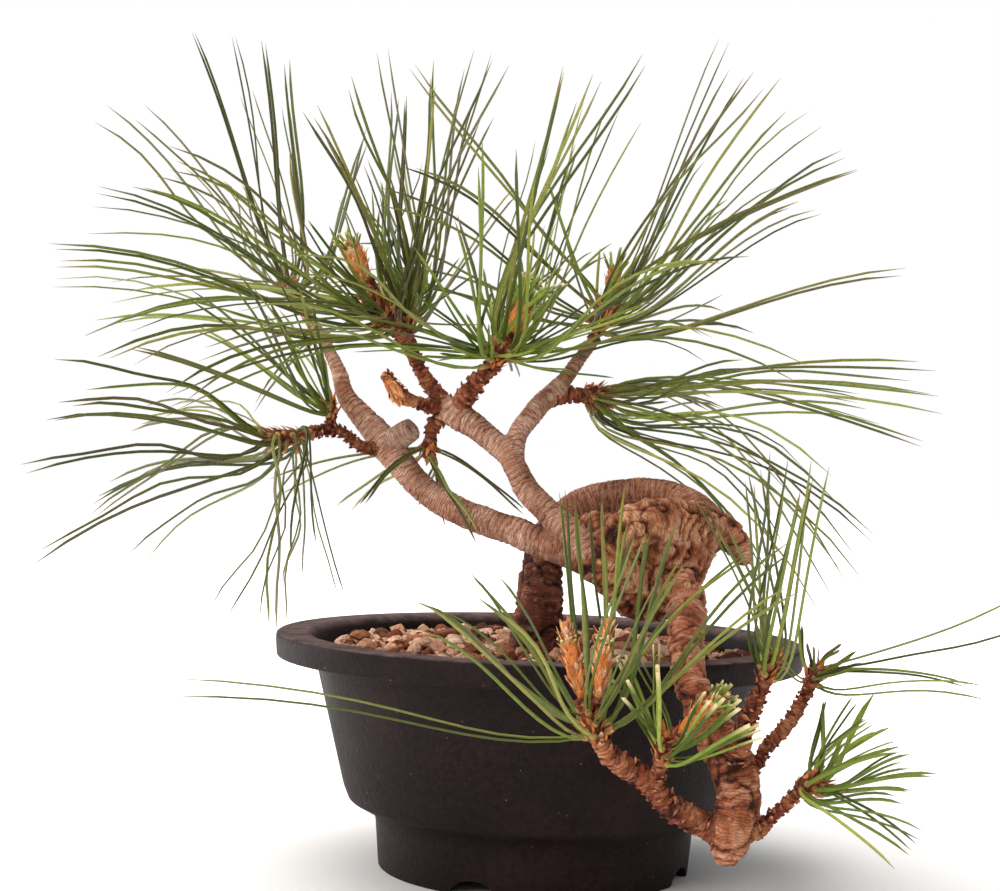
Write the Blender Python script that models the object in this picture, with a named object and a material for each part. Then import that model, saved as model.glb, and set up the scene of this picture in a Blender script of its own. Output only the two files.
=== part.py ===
"""A small pine grown as a bonsai, in a round black plastic training pot.

The trunk rises from gritty soil, arches over, and ties itself into a gnarled knot. Two long branches
leave the knot to the left, and a stout branch falls from it over the front of the pot. Each twig ends in
a tuft of long needles, some with a new shoot, called a candle, above them.

Lengths here are in millimetres, measured from the pot's axis on the table: X to the right,
Y away from the front, Z up. place() moves them to metres in the object's own frame.
"""

import math

import bmesh
import bpy
import numpy as np
from mathutils import Vector

MM = 0.001
GAP = 0.35  # between pieces that touch
POT_CENTRE = (12.5, 38.0)  # the pot's axis in the object's frame, which has its origin under the middle

# Pot, all radii
RIM_RADIUS = 85.0
RIM_TOP = 74.4
RIM_DEPTH = 7.4
RIM_OPENING = 75.0
WALL = 2.4
NECK_RADIUS = 72.5  # the wall's outside, just under the rim
SHOULDER_RADIUS = 62.0
SHOULDER_TOP = 26.0
SHOULDER_CREASE = 20.0
FOOT_RADIUS = 50.0
FOOT_TOP = 13.5
FLOOR_UNDERSIDE = 5.5
WAIST_INSIDE = (16.5, 22.0)  # heights where the waist's inside starts and ends
TURNS = 44  # straight sides round the pot

# Soil and its largest stones
SOIL_TOP = 69.2
SOIL_ROUGHNESS = 0.9
STONE_COUNT = 10
STONE_CLEARANCE = 17  # from the trunk's middle to a stone's edge

# Wood
WOOD_VOXEL = 1.2  # the grain at which the limbs are melted together
WOOD_KEPT = 0.085  # the share of its faces that the plain solid keeps

# Needles: one prism stands for each bundle of two
NEEDLE_RADIUS = 0.72
NEEDLE_SPANS = 5
NEEDLE_CLEARANCE = 2.1  # between the middles of two needles
NEEDLE_ATTEMPTS = 160  # before a needle is left out

rng = np.random.default_rng(41)


# ---------------------------------------------------------------- helpers

def place(points):
    """Millimetres from the pot's axis, turned into metres in the object's frame."""
    points = np.asarray(points, float)
    return (points + np.array([*POT_CENTRE, 0.0])) * MM


def material(name, colour, roughness):
    made = bpy.data.materials.new(name)
    made.use_nodes = True
    shader = made.node_tree.nodes["Principled BSDF"]
    shader.inputs["Base Color"].default_value = (*colour, 1.0)
    shader.inputs["Roughness"].default_value = roughness
    made.diffuse_color = (*colour, 1.0)
    return made


def add_object(name, points, faces, finish, cutter=False):
    """A mesh object from millimetre points. A cutter or a joined piece is hidden from the build."""
    mesh = bpy.data.meshes.new(name)
    mesh.from_pydata(place(points).tolist(), [], [tuple(map(int, face)) for face in faces])
    mesh.materials.append(finish)
    mesh.validate()
    obj = bpy.data.objects.new(name, mesh)
    if cutter:
        obj.hide_render = True
        obj.display_type = "WIRE"
    else:
        bpy.context.scene.collection.objects.link(obj)
    return obj


def smooth_route(points, step):
    """Points every `step` along a smooth curve through the given rows, and any further columns with them."""
    rows = np.asarray(points, float)
    ends = np.vstack([2 * rows[0] - rows[1], rows, 2 * rows[-1] - rows[-2]])
    out = [rows[0]]
    for i in range(len(rows) - 1):
        a, b, c, d = ends[i : i + 4]
        spans = max(1, round(np.linalg.norm(c[:3] - b[:3]) / step))
        for k in range(1, spans + 1):
            t = k / spans
            out.append(
                0.5 * (2 * b + (c - a) * t + (2 * a - 5 * b + 4 * c - d) * t**2
                       + (3 * b - a - 3 * c + d) * t**3)
            )
    return np.array(out)


def rings_to_faces(rings, sides):
    """Quads between the rings, and a flat cap at each end, all facing out."""
    faces = []
    for i in range(rings - 1):
        for k in range(sides):
            n = (k + 1) % sides
            faces.append((i * sides + k, i * sides + n, (i + 1) * sides + n, (i + 1) * sides + k))
    faces.append(tuple(range(sides))[::-1])
    faces.append(tuple((rings - 1) * sides + k for k in range(sides)))
    return faces


def limb_mesh(route, sides, step, knobbly=0.06):
    """A limb of round section along a smooth route of (x, y, z, radius) rows, a little uneven like bark."""
    line = smooth_route(route, step)
    centres, radii = line[:, :3], line[:, 3]
    along = np.gradient(centres, axis=0)
    along /= np.linalg.norm(along, axis=1)[:, None]
    side = np.cross(along[0], [0.31, 0.87, 0.38])
    points = []
    for centre, axis, radius in zip(centres, along, radii):
        side -= axis * (side @ axis)
        side /= np.linalg.norm(side)
        other = np.cross(axis, side)
        for k in range(sides):
            turn = 2 * math.pi * k / sides
            reach = radius * (1 + knobbly * rng.uniform(-1, 1))
            points.append(centre + reach * (math.cos(turn) * side + math.sin(turn) * other))
    return np.array(points), rings_to_faces(len(centres), sides)


def turned_mesh(profile, turns):
    """A closed profile of (radius, z) rows, counter-clockwise seen with Z up, turned about the pot's axis.

    Where a row is on the axis it becomes one point.
    """
    points, ring_of = [], []
    for radius, z in profile:
        count = 1 if radius < 1e-6 else turns
        ring_of.append([len(points) + k for k in range(count)])
        for k in range(count):
            turn = 2 * math.pi * k / turns
            points.append((radius * math.cos(turn), radius * math.sin(turn), z))
    faces = []
    for lower, upper in zip(ring_of, ring_of[1:] + ring_of[:1]):
        if len(lower) == 1 and len(upper) == 1:
            continue
        for k in range(turns):
            n = (k + 1) % turns
            if len(lower) == 1:
                faces.append((lower[0], upper[n], upper[k]))
            elif len(upper) == 1:
                faces.append((lower[k], lower[n], upper[0]))
            else:
                faces.append((lower[k], lower[n], upper[n], upper[k]))
    return np.array(points), faces


def arc(centre, radius, from_deg, to_deg, steps):
    """(radius, z) rows along a round stretch of a profile."""
    turns = np.radians(np.linspace(from_deg, to_deg, steps + 1))
    return [(centre[0] + radius * math.cos(t), centre[1] + radius * math.sin(t)) for t in turns]


def boolean(obj, others, operation):
    """One Boolean of obj with a hidden collection of other pieces."""
    group = bpy.data.collections.new(obj.name + "_" + operation.lower())
    bpy.context.scene.collection.children.link(group)
    for other in others:
        group.objects.link(other)
    modifier = obj.modifiers.new(operation.capitalize(), "BOOLEAN")
    modifier.operand_type = "COLLECTION"
    modifier.collection = group
    modifier.operation = operation
    modifier.solver = "EXACT"


def settle(obj):
    """Applies the modifiers, then keeps the one large body and drops any shell left inside it."""
    bpy.context.view_layer.update()
    graph = bpy.context.evaluated_depsgraph_get()
    mesh = bmesh.new()
    mesh.from_mesh(obj.evaluated_get(graph).to_mesh())
    obj.modifiers.clear()
    bmesh.ops.remove_doubles(mesh, verts=mesh.verts, dist=0.02 * MM)
    bmesh.ops.triangulate(mesh, faces=mesh.faces)
    body, waiting = set(), [max(mesh.verts, key=lambda vert: vert.co.z)]
    while waiting:
        vert = waiting.pop()
        if vert not in body:
            body.add(vert)
            waiting += [edge.other_vert(vert) for edge in vert.link_edges]
    bmesh.ops.delete(mesh, geom=[vert for vert in mesh.verts if vert not in body], context="VERTS")
    mesh.to_mesh(obj.data)
    mesh.free()


def shade_round(obj, angle_deg=40):
    obj.data.shade_smooth()
    obj.data.set_sharp_from_angle(angle=math.radians(angle_deg))


# ---------------------------------------------------------------- pot

def wall_radius(z):
    """The pot's outside above the shoulder: a straight taper from the shoulder to the neck."""
    share = (z - SHOULDER_TOP) / (RIM_TOP - RIM_DEPTH - SHOULDER_TOP)
    return SHOULDER_RADIUS + share * (NECK_RADIUS - SHOULDER_RADIUS)


def inside_radius(z):
    """The pot's inside at a height: the taper less the wall, then the waist, then the foot's drum."""
    heights = (FLOOR_UNDERSIDE, WAIST_INSIDE[0], WAIST_INSIDE[1], SHOULDER_TOP, RIM_TOP)
    drum = FOOT_RADIUS - WALL
    radii = (drum, drum + 0.8, SHOULDER_RADIUS - 5.0, SHOULDER_RADIUS - WALL, wall_radius(RIM_TOP) - WALL)
    return float(np.interp(z, heights, radii))


def make_pot():
    """The pot: a foot ring with four arches, a waist, a tapering wall and a wide rolled rim."""
    skirt_foot = RIM_TOP - RIM_DEPTH
    under_flange = RIM_TOP - 2.3
    outside = [
        (FOOT_RADIUS - 3.2, 0.0),
        (FOOT_RADIUS, 0.0),
        (FOOT_RADIUS + 1.2, FOOT_TOP),
        *arc((FOOT_RADIUS + 7.2, FOOT_TOP), 6.0, 180, 100, 3)[1:],
        (SHOULDER_RADIUS - 1.8, SHOULDER_CREASE + 1.6),
        (SHOULDER_RADIUS, SHOULDER_TOP),
        (NECK_RADIUS, skirt_foot),
        (NECK_RADIUS + 1.4, under_flange),
        (RIM_RADIUS - 2.2, under_flange),
        (RIM_RADIUS - 2.2, skirt_foot),
        (RIM_RADIUS - 0.4, skirt_foot),
        *arc((RIM_RADIUS - 1.8, RIM_TOP - 1.8), 1.8, 0, 90, 3),
        *[(RIM_OPENING + 1.2 - 5.0 * math.sin(t), RIM_TOP - 6.0 * (1 - math.cos(t)))
          for t in np.radians((0, 25, 50, 75))],
        (inside_radius(66.0), 66.0),
        (inside_radius(SHOULDER_TOP), SHOULDER_TOP),
        *[(inside_radius(z), z) for z in reversed(WAIST_INSIDE)],
        (inside_radius(FLOOR_UNDERSIDE + WALL), FLOOR_UNDERSIDE + WALL),
        (0.0, FLOOR_UNDERSIDE + WALL),
        (0.0, FLOOR_UNDERSIDE),
        (FOOT_RADIUS - 3.2, FLOOR_UNDERSIDE),
    ]
    plastic = material("black_plastic", (0.030, 0.021, 0.023), 0.42)
    pot = add_object("pot", *turned_mesh(outside, TURNS), plastic)

    cutters = []
    arch_half_width, arch_height, arch_sides = 8.5, 4.6, 8
    for number in range(4):
        heading = math.radians(-112 + 90 * number)
        outward = np.array([math.cos(heading), math.sin(heading), 0.0])
        across = np.array([-math.sin(heading), math.cos(heading), 0.0])
        outline = []
        for k in range(arch_sides + 1):
            turn = math.pi * (1 - k / arch_sides)
            outline.append((arch_half_width * math.cos(turn), (arch_height + 2) * math.sin(turn) - 2))
        near, far = FOOT_RADIUS - 8.0, FOOT_RADIUS + 6.0
        points = [outward * r + across * a + np.array([0, 0, z]) for r in (near, far) for a, z in outline]
        count = len(outline)
        faces = [(k, (k + 1) % count, count + (k + 1) % count, count + k) for k in range(count)]
        faces += [tuple(range(count))[::-1], tuple(range(count, 2 * count))]
        cutters.append(add_object(f"foot_arch_{number + 1}", points, faces, plastic, cutter=True))
    holes = [(0.0, 0.0, 7.0)]
    holes += [(30 * math.cos(t), 30 * math.sin(t), 4.0) for t in np.radians(np.arange(0, 360, 60))]
    for number, (x, y, radius) in enumerate(holes):
        points = [
            (x + radius * math.cos(t), y + radius * math.sin(t), z)
            for z in (FLOOR_UNDERSIDE - 2, FLOOR_UNDERSIDE + WALL + 2)
            for t in np.linspace(0, 2 * math.pi, 12, endpoint=False)
        ]
        cutters.append(
            add_object(f"drain_hole_{number + 1}", points, rings_to_faces(2, 12), plastic, cutter=True)
        )
    for cutter in cutters:
        recalculate(cutter)
    recalculate(pot)
    boolean(pot, cutters, "DIFFERENCE")
    shade_round(pot)


def recalculate(obj):
    """Turns every face outwards."""
    mesh = bmesh.new()
    mesh.from_mesh(obj.data)
    bmesh.ops.recalc_face_normals(mesh, faces=mesh.faces)
    if mesh.calc_volume(signed=True) < 0:
        bmesh.ops.reverse_faces(mesh, faces=mesh.faces)
    mesh.to_mesh(obj.data)
    mesh.free()


# ---------------------------------------------------------------- soil

ROOT_ROUTE = [(0, -10, 34, 5.0), (0, -10, 50, 7.5), (0, -10, 62, 9.4), (0, -10, 70, 10.0)]


def make_soil():
    """The gritty soil that fills the pot, with an uneven top and a socket for the tree's root stock."""
    grit = material("gritty_soil", (0.42, 0.27, 0.19), 0.95)
    base = FLOOR_UNDERSIDE + WALL + GAP
    profile = [(0.0, base), (inside_radius(base) - GAP, base)]
    for z in (*WAIST_INSIDE, SHOULDER_TOP, 66.0):
        profile.append((inside_radius(z) - GAP, z))
    top_rings = [(inside_radius(66.0) - GAP, SOIL_TOP)]
    top_rings += [(radius, SOIL_TOP) for radius in (60, 50, 40, 30, 20)] + [(0.0, SOIL_TOP)]
    points, faces = turned_mesh(profile + top_rings, 36)
    on_top = (points[:, 2] == SOIL_TOP) & (np.hypot(points[:, 0], points[:, 1]) < 69)
    points[on_top, 2] += SOIL_ROUGHNESS * rng.uniform(-1, 1, on_top.sum())
    soil = add_object("soil_bed", points, faces, grit)
    recalculate(soil)
    wider = [(x, y, z + (8 if z == 70 else -GAP if z == 34 else 0), r + 1.5) for x, y, z, r in ROOT_ROUTE]
    socket = add_object("root_socket", *limb_mesh(wider, 14, 12, 0.0), grit, cutter=True)
    recalculate(socket)
    boolean(soil, [socket], "DIFFERENCE")


def make_stones():
    """The largest stones of the top dressing, each lying loose on the soil, clear of the trunk."""
    pumice = material("pumice", (0.78, 0.55, 0.43), 0.9)
    placed = []
    while len(placed) < STONE_COUNT:
        turn, radius, size = rng.uniform(0, 2 * math.pi), rng.uniform(20, 62), rng.uniform(3.4, 4.8)
        x, y = radius * math.cos(turn), radius * math.sin(turn)
        clear = all(math.hypot(x - a, y - b) > size + other + 1.5 for a, b, other in placed)
        if clear and math.hypot(x, y + 10) > STONE_CLEARANCE + size:
            placed.append((x, y, size))
    for number, (x, y, size) in enumerate(placed):
        mesh = bmesh.new()
        bmesh.ops.create_icosphere(mesh, subdivisions=2, radius=1.0)
        points = np.array([v.co[:] for v in mesh.verts])
        faces = [[v.index for v in face.verts] for face in mesh.faces]
        mesh.free()
        points *= 1 + 0.13 * rng.uniform(-1, 1, len(points))[:, None]
        points *= (size, size * rng.uniform(0.72, 0.95), 1.9)
        spin = rng.uniform(0, math.pi)
        c, s = math.cos(spin), math.sin(spin)
        points[:, :2] = points[:, :2] @ np.array([[c, s], [-s, c]])
        points += (x, y, SOIL_TOP + SOIL_ROUGHNESS + GAP - points[:, 2].min())
        add_object(f"top_stone_{number + 1:02d}", points, faces, pumice)


# ---------------------------------------------------------------- wood

# Each limb is a route of (x, y, z, radius) rows, from its root to its tip.
LIMBS = {
    "roots": ROOT_ROUTE,
    "trunk": [
        (-1, -10, 64, 9.6), (-1, -9, 72, 8.6), (-0.5, -8, 83, 7.6), (0, -6, 94, 6.8), (1, -2, 103, 6.2),
        (5, 4, 110, 5.7), (13, 7, 117, 5.4), (26, 8, 120.5, 5.3), (38, 5, 121, 5.3), (47, -3, 118, 5.4),
        (52, -12, 113.5, 5.6), (50, -25, 108, 6.0),
    ],
    "knot_heel": [(5, -4, 104, 5.4), (13, -17, 108, 6.2), (22, -27, 109, 7.0), (32, -34, 106, 7.0)],
    "knot_front": [
        (50, -23, 109, 6.0), (46, -36, 112, 6.6), (36, -44, 114, 7.0), (25, -47, 110, 7.2),
        (20, -45, 101, 7.0), (27, -46, 92, 7.0), (36, -47, 91, 6.8), (42, -50, 92, 6.0),
    ],
    "falling_branch": [
        (40, -46, 95, 7.0), (42, -52, 90, 5.9), (42, -61, 86, 5.3), (40.5, -71.5, 81.6, 4.9),
        (40, -81.5, 76.4, 4.7), (41.5, -89, 69, 4.9), (46, -93.5, 60, 5.6), (51.5, -96, 51, 6.5), (53.5, -98, 42, 6.1),
        (52, -99, 33, 5.7), (51, -100, 27, 4.6), (51, -100, 23.5, 2.2),
    ],
    "knot_stub": [(47, -18, 114, 6.0), (56, -22, 111, 5.2), (61, -24, 106, 3.8), (63, -25, 101, 2.0)],
    "branch_root": [(33, -44, 96, 7.6), (25, -47, 97, 6.8), (17, -46, 100, 5.8), (9, -41, 104, 5.0)],
    "left_branch": [
        (12, -43, 102.5, 5.2), (0, -36, 106, 4.7), (-8, -33, 109, 4.5), (-17, -30, 111.5, 4.4),
        (-26, -27, 114.5, 4.3), (-34, -24, 118.5, 4.3), (-40, -22, 123, 4.2), (-45, -20, 128.5, 4.4),
        (-50, -18, 134, 4.7), (-54, -17, 139, 4.4), (-59, -15, 144, 3.7), (-64, -13, 150, 3.0),
        (-67, -9, 158, 2.3), (-73, 0, 168, 2.0), (-80, 9, 177, 1.9), (-83.5, 13.5, 181, 1.8),
    ],
    "left_stump": [(-50, -18, 134, 4.2), (-45, -21, 138, 4.0), (-42, -23, 140, 3.7)],
    "left_twig": [
        (-53, -18, 133, 2.0), (-58, -25, 134, 1.8), (-63, -28, 138, 1.8), (-68, -31, 138.5, 1.9),
        (-73.5, -33, 137.5, 1.9),
    ],
    "middle_branch": [
        (17, -46, 99, 5.6), (11.5, -44, 106, 4.7), (5.5, -41, 111.5, 4.2), (-0.5, -38, 117, 4.0),
        (-5.5, -35, 122, 3.8), (-9, -33, 128, 3.6), (-12, -31, 133, 3.5), (-17, -29, 137, 3.7),
        (-22, -27, 141, 4.0), (-27, -25, 144, 4.4), (-31, -24, 147, 4.2),
    ],
    "right_branch": [
        (-10, -31, 131, 3.2), (-9, -27, 139, 3.0), (-5, -23, 145, 3.1), (-2, -19, 149, 3.2),
        (2, -15, 153, 3.0), (6, -12, 158, 2.5), (10, -9, 164, 2.2), (14, -7, 169.5, 2.0),
    ],
    "right_stub": [(0, -17, 151, 3.0), (5, -11, 152.5, 2.7), (9.5, -7, 152.5, 2.2)],
    "crown_twig": [
        (-29, -24, 145, 3.6), (-33, -23, 149, 2.6), (-37, -21, 154, 2.2), (-41, -19, 160, 2.1),
        (-43, -17, 165, 2.0), (-44.5, -15.5, 169, 1.8),
    ],
    "candle_twig": [(-42, -18, 162, 1.9), (-45, -20, 167, 1.9), (-48, -21.5, 170, 1.8)],
    "middle_twig": [(-28, -25, 146, 3.4), (-23, -29, 154, 2.7), (-19, -33, 158, 2.3)],
    "lower_spur": [(-31, -23, 146, 3.0), (-35.5, -19.5, 141.5, 2.4), (-36.3, -17.5, 138.8, 1.9)],
    "rear_spur": [(-32, -24, 147, 3.2), (-39, -27, 147.5, 2.0), (-43, -30, 149, 1.5)],
    "front_twig": [
        (51, -99, 31, 4.4), (46, -99, 33, 3.4), (41, -101, 36, 3.4), (34, -103, 40, 3.3),
        (30, -104, 45, 3.2), (26, -105, 48, 3.1), (21, -107, 51.5, 3.0), (18, -108, 53.5, 2.6),
    ],
    "front_spur": [(30, -104, 44, 2.8), (30.5, -106, 47.5, 2.3), (31, -107.5, 49.5, 1.9)],
    "upright_twig": [(52, -98, 50, 4.0), (53, -104, 58, 2.7), (55, -106, 65, 2.4), (57.3, -108, 71.5, 2.1)],
    "upper_right_twig": [
        (54, -97, 46, 2.8), (59, -93, 50, 1.9), (62, -90, 54, 1.8), (66, -88, 58, 1.8), (70, -86, 63, 1.8),
        (73.3, -84, 68.5, 1.8),
    ],
    "lower_right_twig": [
        (53, -99, 32, 3.0), (59, -100, 33, 1.8), (62, -101, 37, 1.7), (66, -102.5, 41, 1.7),
        (68, -103, 43.5, 1.7),
    ],
}
THICK_LIMBS = {"roots", "trunk", "knot_heel", "knot_front", "falling_branch", "branch_root"}
KNOT_CENTRE, KNOT_RADII = (34.5, -33, 104.5), (16.5, 15.0, 15.8)


def make_wood():
    """Trunk, knot, branches and twigs as the one piece that grew: limbs melted into one closed surface."""
    bark = material("pine_bark", (0.27, 0.13, 0.085), 0.9)
    shapes = []
    for name, route in LIMBS.items():
        thick = name in THICK_LIMBS
        shapes.append(limb_mesh(route, 12 if thick else 9, 6.0 if thick else 5.0))
    mesh = bmesh.new()
    bmesh.ops.create_icosphere(mesh, subdivisions=3, radius=1.0)
    points = np.array([v.co[:] for v in mesh.verts])
    faces = [[v.index for v in face.verts] for face in mesh.faces]
    mesh.free()
    ridges = 1 + 0.06 * np.sin(9 * points[:, 2] + 4 * points[:, 0]) + 0.03 * rng.uniform(-1, 1, len(points))
    shapes.append((points * ridges[:, None] * KNOT_RADII + KNOT_CENTRE, faces))
    all_points, all_faces = [], []
    for points, faces in shapes:
        all_faces += [[len(all_points) + index for index in face] for face in faces]
        all_points += list(points)
    wood = add_object("trunk_and_branches", all_points, all_faces, bark)
    recalculate(wood)
    melt = wood.modifiers.new("Melt", "REMESH")
    melt.mode = "VOXEL"
    melt.voxel_size = WOOD_VOXEL * MM
    thin = wood.modifiers.new("Thin", "DECIMATE")
    thin.ratio = WOOD_KEPT
    settle(wood)
    shade_round(wood, 50)


# ---------------------------------------------------------------- needles and candles

# Each tuft: the middle of its shoot, the shoot's heading (degrees up from +X, then degrees away from the
# front), its radius and half length, the needles' length, and fans of needles. A fan is a count, two
# headings seen from the front, the reach seen from the front at each, and how far the needles bow up.
TUFTS = {
    "crown_left": dict(
        at=(-87, 17.5, 186), heading=(118, 40), core=(2.3, 5.6), length=86,
        fans=[(6, 109, 89, 80, 68, 0.04), (5, 141, 114, 74, 46, 0.06), (3, 79, 72, 38, 62, -0.04)]),
    "crown_far_left": dict(
        at=(-53, -24, 176.5), heading=(122, -15), core=(3.2, 7.8), length=104,
        fans=[(6, 147, 170, 60, 82, 0.07), (6, 172, 182, 84, 96, 0.06), (5, 188, 214, 80, 54, 0.10)]),
    "crown_centre_left": dict(
        at=(-46, -13.5, 174.5), heading=(100, 15), core=(2.7, 5.2), length=92,
        fans=[(5, 122, 103, 56, 64, 0.03), (5, 100, 92, 64, 80, 0.02), (6, 86, 62, 84, 80, 0.05)]),
    "crown_centre": dict(
        at=(-15.5, -37, 163), heading=(60, -30), core=(3.1, 6.0), length=100,
        fans=[(4, 62, 50, 42, 58, 0.05), (7, 79, 64, 74, 99, 0.02), (3, 110, 86, 36, 52, 0.02),
              (4, 166, 192, 60, 90, 0.10), (3, 22, -4, 62, 84, 0.12)]),
    "crown_right": dict(
        at=(17, -4.2, 178), heading=(72, 20), core=(3.0, 6.6), length=98,
        fans=[(6, 69, 46, 82, 68, 0.04), (6, 42, 28, 78, 88, 0.07), (3, 19, 4, 40, 55, 0.06),
              (1, 10, 10, 98, 98, 0.04), (1, 129, 129, 102, 102, -0.04), (4, 148, 174, 66, 90, 0.08)]),
    "crown_far_right": dict(
        at=(15.5, -3, 153), heading=(5, 35), core=(3.2, 5.6), length=112,
        fans=[(7, 4, -6, 92, 106, 0.05), (4, 12, -9, 42, 56, 0.05), (3, -20, -27, 68, 96, 0.14),
              (6, -37, -46, 84, 96, 0.17)]),
    "fork_underside": dict(
        at=(-37, -16.5, 134.5), heading=(-100, 10), core=(2.4, 3.6), length=62,
        fans=[(3, 200, 225, 54, 24, 0.05), (4, 255, 325, 20, 40, 0.03)]),
    "left_upright": dict(
        at=(-67, -29.5, 145), heading=(95, -10), core=(2.0, 3.6), length=64,
        fans=[(7, 98, 164, 34, 56, 0.04)]),
    "left_low": dict(
        at=(-80.5, -36, 136), heading=(180, -15), core=(2.6, 6.6), length=84,
        fans=[(6, 166, 180, 44, 60, 0.09), (6, 187, 216, 74, 68, 0.07), (6, 262, 290, 48, 56, -0.03)]),
    "front": dict(
        at=(14, -109.5, 60.5), heading=(110, -5), core=(2.9, 6.0), length=74,
        fans=[(6, 99, 80, 62, 56, 0.03), (4, 76, 68, 56, 46, 0.03), (3, 50, 43, 68, 62, 0.06),
              (5, 128, 152, 48, 58, 0.06), (1, 174, 174, 110, 110, 0.03)]),
    "front_inner": dict(
        at=(32, -109, 55.5), heading=(80, -10), core=(2.5, 5.0), length=32,
        fans=[(6, 128, 92, 22, 27, 0.0), (5, 66, 18, 20, 24, 0.0)]),
    "front_upright": dict(
        at=(59, -109.5, 77.5), heading=(76, -10), core=(2.4, 5.0), length=68,
        fans=[(5, 113, 95, 44, 60, 0.02), (4, 91, 83, 46, 54, 0.02)]),
    "right_upper": dict(
        at=(76, -82, 73.5), heading=(60, 15), core=(2.4, 3.8), length=60,
        fans=[(1, 20, 20, 53, 53, -0.04), (2, 2, -5, 36, 50, 0.05), (6, 30, 140, 10, 14, 0.0)]),
    "right_lower": dict(
        at=(71.8, -104, 47), heading=(25, -5), core=(2.8, 4.2), length=34,
        fans=[(7, 74, 46, 18, 28, 0.05), (6, 40, 8, 24, 30, 0.05), (5, -8, -32, 30, 26, 0.06)]),
}

# Candles: new shoots with papery scales, each a route of (x, y, z, radius) rows.
CANDLES = {
    "candle_far_left": [
        (-57.5, -26, 184.4, 2.1), (-59, -27, 188, 2.7), (-61, -28, 192, 3.2), (-62, -28.5, 195, 2.4)],
    "candle_centre": [(-11.6, -40.2, 169.8, 2.2), (-10, -41, 173, 2.9), (-9, -41.5, 177, 2.2)],
    "candle_right": [(19.3, -2, 185.3, 1.7), (20.0, -1.6, 188.5, 2.2), (20.8, -1.2, 192.5, 1.5)],
    "candle_front_left": [(9.5, -111.3, 68.6, 1.9), (8, -112, 76, 2.3), (5.5, -113.5, 85, 1.7)],
    "candle_front_right": [(14.3, -111.6, 68.7, 1.6), (14.5, -114, 77, 2.0), (15.5, -116, 86, 1.5)],
    "candle_front_inner": [(35.5, -111, 60.2, 1.8), (39.5, -112.5, 64, 2.4), (44.5, -114.5, 69.5, 2.2)],
    "candle_fork": [(-46, -31.5, 150, 1.2), (-48.5, -33, 153, 1.9), (-50.5, -34, 157, 1.2)],
}


def distance_between(a, b, c, d):
    """The least distance from segment ab to each of the segments cd, tried at nine places along each."""
    steps = np.linspace(0, 1, 9)
    on_ab = a + steps[:, None] * (b - a)
    on_cd = c[:, None] + steps[None, :, None] * (d - c)[:, None]
    apart = np.linalg.norm(on_ab[None, :, None] - on_cd[:, None], axis=3)
    return apart.min(axis=(1, 2))


def pot_outside(z):
    if z > RIM_TOP - RIM_DEPTH:
        return RIM_RADIUS
    return wall_radius(z) if z > SHOULDER_TOP else SHOULDER_RADIUS


def clear_of_pot(points):
    """True where a needle stays outside the pot, or above the soil inside its rim."""
    for x, y, z in points:
        radius, margin = math.hypot(x, y), 2.0
        if z > RIM_TOP + margin or radius > pot_outside(z) + margin:
            continue
        if radius < RIM_OPENING - 6 and z > SOIL_TOP + 6:
            continue
        return False
    return all(z > 3 for _, _, z in points)


def heading_vector(heading_deg, lean_deg=0.0):
    """A unit vector from a heading seen from the front and a lean away from the front."""
    heading, lean = math.radians(heading_deg), math.radians(lean_deg)
    return np.array([
        math.cos(heading) * math.cos(lean), math.sin(lean), math.sin(heading) * math.cos(lean)])


def needle_curve(start, out, tip, bow):
    """A needle's middle line: it leaves the shoot along `out`, bows upwards, and ends at its tip."""
    span = np.linalg.norm(tip - start)
    steps = np.linspace(0, 1, NEEDLE_SPANS + 1)[:, None]
    leave = start + out * 0.16 * span + (tip - start) * 0.10
    middle = start + (tip - start) * 0.55 + np.array([0, 0, 1.6 * bow * span])
    return (
        (1 - steps) ** 3 * start + 3 * (1 - steps) ** 2 * steps * leave
        + 3 * (1 - steps) * steps**2 * middle + steps**3 * tip
    )


class Crowd:
    """The needles and limbs placed so far, as segments with radii, which a new needle has to miss."""

    def __init__(self):
        self.starts, self.ends, self.radii, self.owners = [], [], [], []

    def add(self, points, radii, owner):
        for k in range(len(points) - 1):
            self.starts.append(points[k])
            self.ends.append(points[k + 1])
            self.radii.append(max(radii[k], radii[k + 1]))
            self.owners.append(owner)

    def misses(self, points, owner):
        starts, ends = np.array(self.starts), np.array(self.ends)
        radii = np.array(self.radii)
        same = np.array([other == owner for other in self.owners])
        for k in range(len(points) - 1):
            near = distance_between(points[k], points[k + 1], starts, ends) - radii
            limit = np.where(same, 0.62 if k else -9.0, NEEDLE_CLEARANCE - NEEDLE_RADIUS)
            if (near < limit).any():
                return False
        return True


def shoot_mesh(at, heading, radius, half_length):
    """An egg-shaped shoot as points, triangles, and each triangle's middle and outward direction."""
    mesh = bmesh.new()
    bmesh.ops.create_icosphere(mesh, subdivisions=2, radius=1.0)
    points = np.array([v.co[:] for v in mesh.verts])
    faces = [[v.index for v in face.verts] for face in mesh.faces]
    mesh.free()
    turn = np.array(Vector((0, 0, 1)).rotation_difference(Vector(heading_vector(*heading))).to_matrix())
    points = (points * (radius, radius, half_length)) @ turn.T + at
    corners = points[np.array(faces)]
    normals = np.cross(corners[:, 1] - corners[:, 0], corners[:, 2] - corners[:, 0])
    normals /= np.linalg.norm(normals, axis=1)[:, None]
    return points, faces, corners.mean(axis=1), normals


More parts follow.
